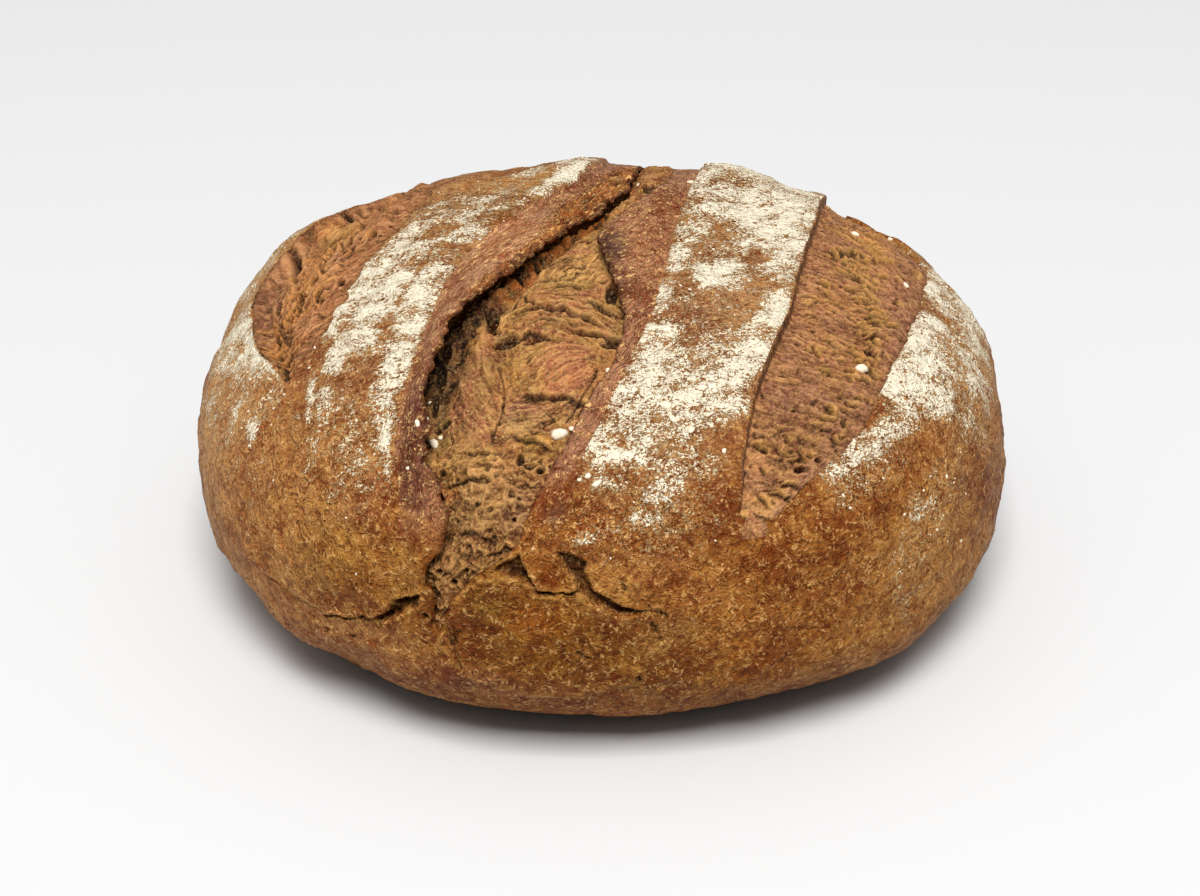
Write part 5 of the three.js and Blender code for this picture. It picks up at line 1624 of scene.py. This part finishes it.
# %% Torn crumb
def torn_crumb(name, fibre_colour, strength):
    """Crumb: wheat gelatine torn open and then baked, so a web of dry fibres, duller than crust."""
    material, node, shader, place = started(name)
    tone = node("colour on mesh", attribute_name="tone")
    cavity_shade = node("number on mesh", attribute_name="cavity_shade")
    blotch = node("noise", place, 1 / 3, 5.0, 0.65, 1.2)
    grain = node("noise", place, 1 / 0.8, 3.0, 0.6)
    colour = tone
    for noise, low, high, most, kind, share, other in (
        (blotch, 0.5, 0.75, 0.6, "tint", 1.0, "#a86a45"),  # blotches of 3 mm, redder
        (blotch, 0.48, 0.25, 0.5, "mix", 0.5, "#e0b070"),  # or paler
        (grain, 0.56, 0.72, 0.5, "mix", 0.5, "#f0c490"),  # dry flakes under a millimetre catch the light
        # the pinholes are painted dark as their shade
        (grain, 0.44, 0.3, 0.6, "tint", 1.0, "#8a5a42"),  # and pinholes between them stay dark
    ):
        amount = node("spread", noise, low, high, 0.0, most)
        colour = node("mix", amount, colour, node(kind, share, tone, other))
    # fibres of stretched dough are 0.1 to 0.3 mm thick, drawn 0.35 mm so that they show
    web = node("larger", fibres(node, place, 5.0, 0.035, 3.0), fibres(node, place, 2.6, 0.05, 2.0))
    web = node("times", web, node("spread", grain, 0.4, 0.62))
    # the fibres fade where painted shade lies
    outside = node("minus", 1.0, node("times", cavity_shade, 0.85))
    lit = node("times", node("times", web, outside), strength)
    colour = node("mix", lit, colour, fibre_colour)
    height = node("plus", node("times", blotch, 1.0), node("times", grain, 0.4))
    height = node("plus", height, node("times", web, 0.3))
    rough = node("spread", blotch, 0.3, 0.7, 0.58, 0.78)
    links = {"Base Color": colour, "Roughness": rough, "Normal": node("bump", height, 0.0007, 1.0)}
    finished(shader, links, {"IOR": 1.42, "Specular IOR Level": 0.15})
    return material


dressed(burst_crumb, torn_crumb("torn_wheat_crumb", "#e2b272", 0.6))
slash_material = torn_crumb("toasted_slash_crumb", "#dca860", 0.45)
dressed(left_crumb, slash_material)
dressed(right_crumb, slash_material)
print("nodes in a crumb's material:", len(slash_material.node_tree.nodes))


# %% Clotted rice flour
def clotted_flour():
    """Rice flour that clotted: a matte powder, off-white, a little yellower in its hollows."""
    material, node, shader, place = started("clotted_rice_flour")
    grain = node("noise", place, 1 / 0.5, 3.0, 0.6)
    colour = node("mix", node("spread", grain, 0.35, 0.65), "#e2cfae", "#f8eedb")
    links = {"Base Color": colour, "Normal": node("bump", grain, 0.0003, 0.8)}
    finished(shader, links, {"Roughness": 0.95, "Specular IOR Level": 0.1})
    return material


dressed(lumps, clotted_flour())
print("materials:", ", ".join(sorted(material.name for material in bpy.data.materials)))

# %% [markdown]
# ## Floor, light and camera
# The loaf stands on a sheet of matte white paper that runs on out of view. One
# large soft lamp hangs above it, and a white room fills the shadows, so the
# only dark place is the narrow gap under the curling belly.

# %% Paper floor
HALF_SHEET = 6.0  # metres
paper = bpy.data.meshes.new("paper_floor")
corners = [(HALF_SHEET * x, HALF_SHEET * y, 0) for x, y in ((-1, -1), (1, -1), (1, 1), (-1, 1))]
paper.from_pydata(corners, [], [(0, 1, 2, 3)])
floor = bpy.data.objects.new("paper_floor", paper)
bpy.context.scene.collection.objects.link(floor)
white_paper = bpy.data.materials.new("matte_white_paper")
white_paper.use_nodes = True
sheet = white_paper.node_tree.nodes["Principled BSDF"]
sheet.inputs["Base Color"].default_value = (*linear("#d0d1d3"), 1)
sheet.inputs["Roughness"].default_value = 0.9
sheet.inputs["Specular IOR Level"].default_value = 0.2
paper.materials.append(white_paper)
print("sheet of paper:", 2 * HALF_SHEET, "m square")

# %% Soft lamp and white room
room = bpy.data.worlds.new("white_room")
bpy.context.scene.world = room
room.use_nodes = True
sky = room.node_tree
upward = add(sky, "height of", add(sky, "way out"))
glow = add(sky, "mix", add(sky, "spread", upward, 0.2, 0.92), "#000000", "#fefdfa")
sky.links.new(glow, sky.nodes["Background"].inputs["Color"])
sky.nodes["Background"].inputs["Strength"].default_value = 0.7

softbox = bpy.data.lights.new("front_softbox", "AREA")
softbox.size, softbox.energy, softbox.color = 1.5, 150.0, linear("#fefdfb")
lamp = bpy.data.objects.new("front_softbox", softbox)
lamp.location = (0.0, -1.5, 3.2)
to_loaf = Vector((0, 0, 0.04)) - lamp.location
lamp.rotation_euler = to_loaf.to_track_quat("-Z", "Y").to_euler()
bpy.context.scene.collection.objects.link(lamp)
print("softbox", round(to_loaf.length, 2), "m from the loaf,", softbox.energy, "W")

# %% Camera
VIEW_DOWN, VIEW_AWAY = math.radians(32.0), 0.7395
LENS, SENSOR = 70.0, 36.0  # millimetres
aim = Vector((-0.00074, 0.0, 0.03285))
eye = bpy.data.cameras.new("camera")
eye.lens, eye.sensor_width = LENS, SENSOR
camera = bpy.data.objects.new("camera", eye)
toward = Vector((0, math.cos(VIEW_DOWN), -math.sin(VIEW_DOWN)))
camera.location = aim - VIEW_AWAY * toward
camera.rotation_euler = toward.to_track_quat("-Z", "Y").to_euler()
bpy.context.scene.collection.objects.link(camera)
bpy.context.scene.camera = camera
bpy.context.scene.view_settings.view_transform = "Standard"
print("camera", VIEW_AWAY, "m away, looking down by", round(math.degrees(VIEW_DOWN), 1), "degrees")
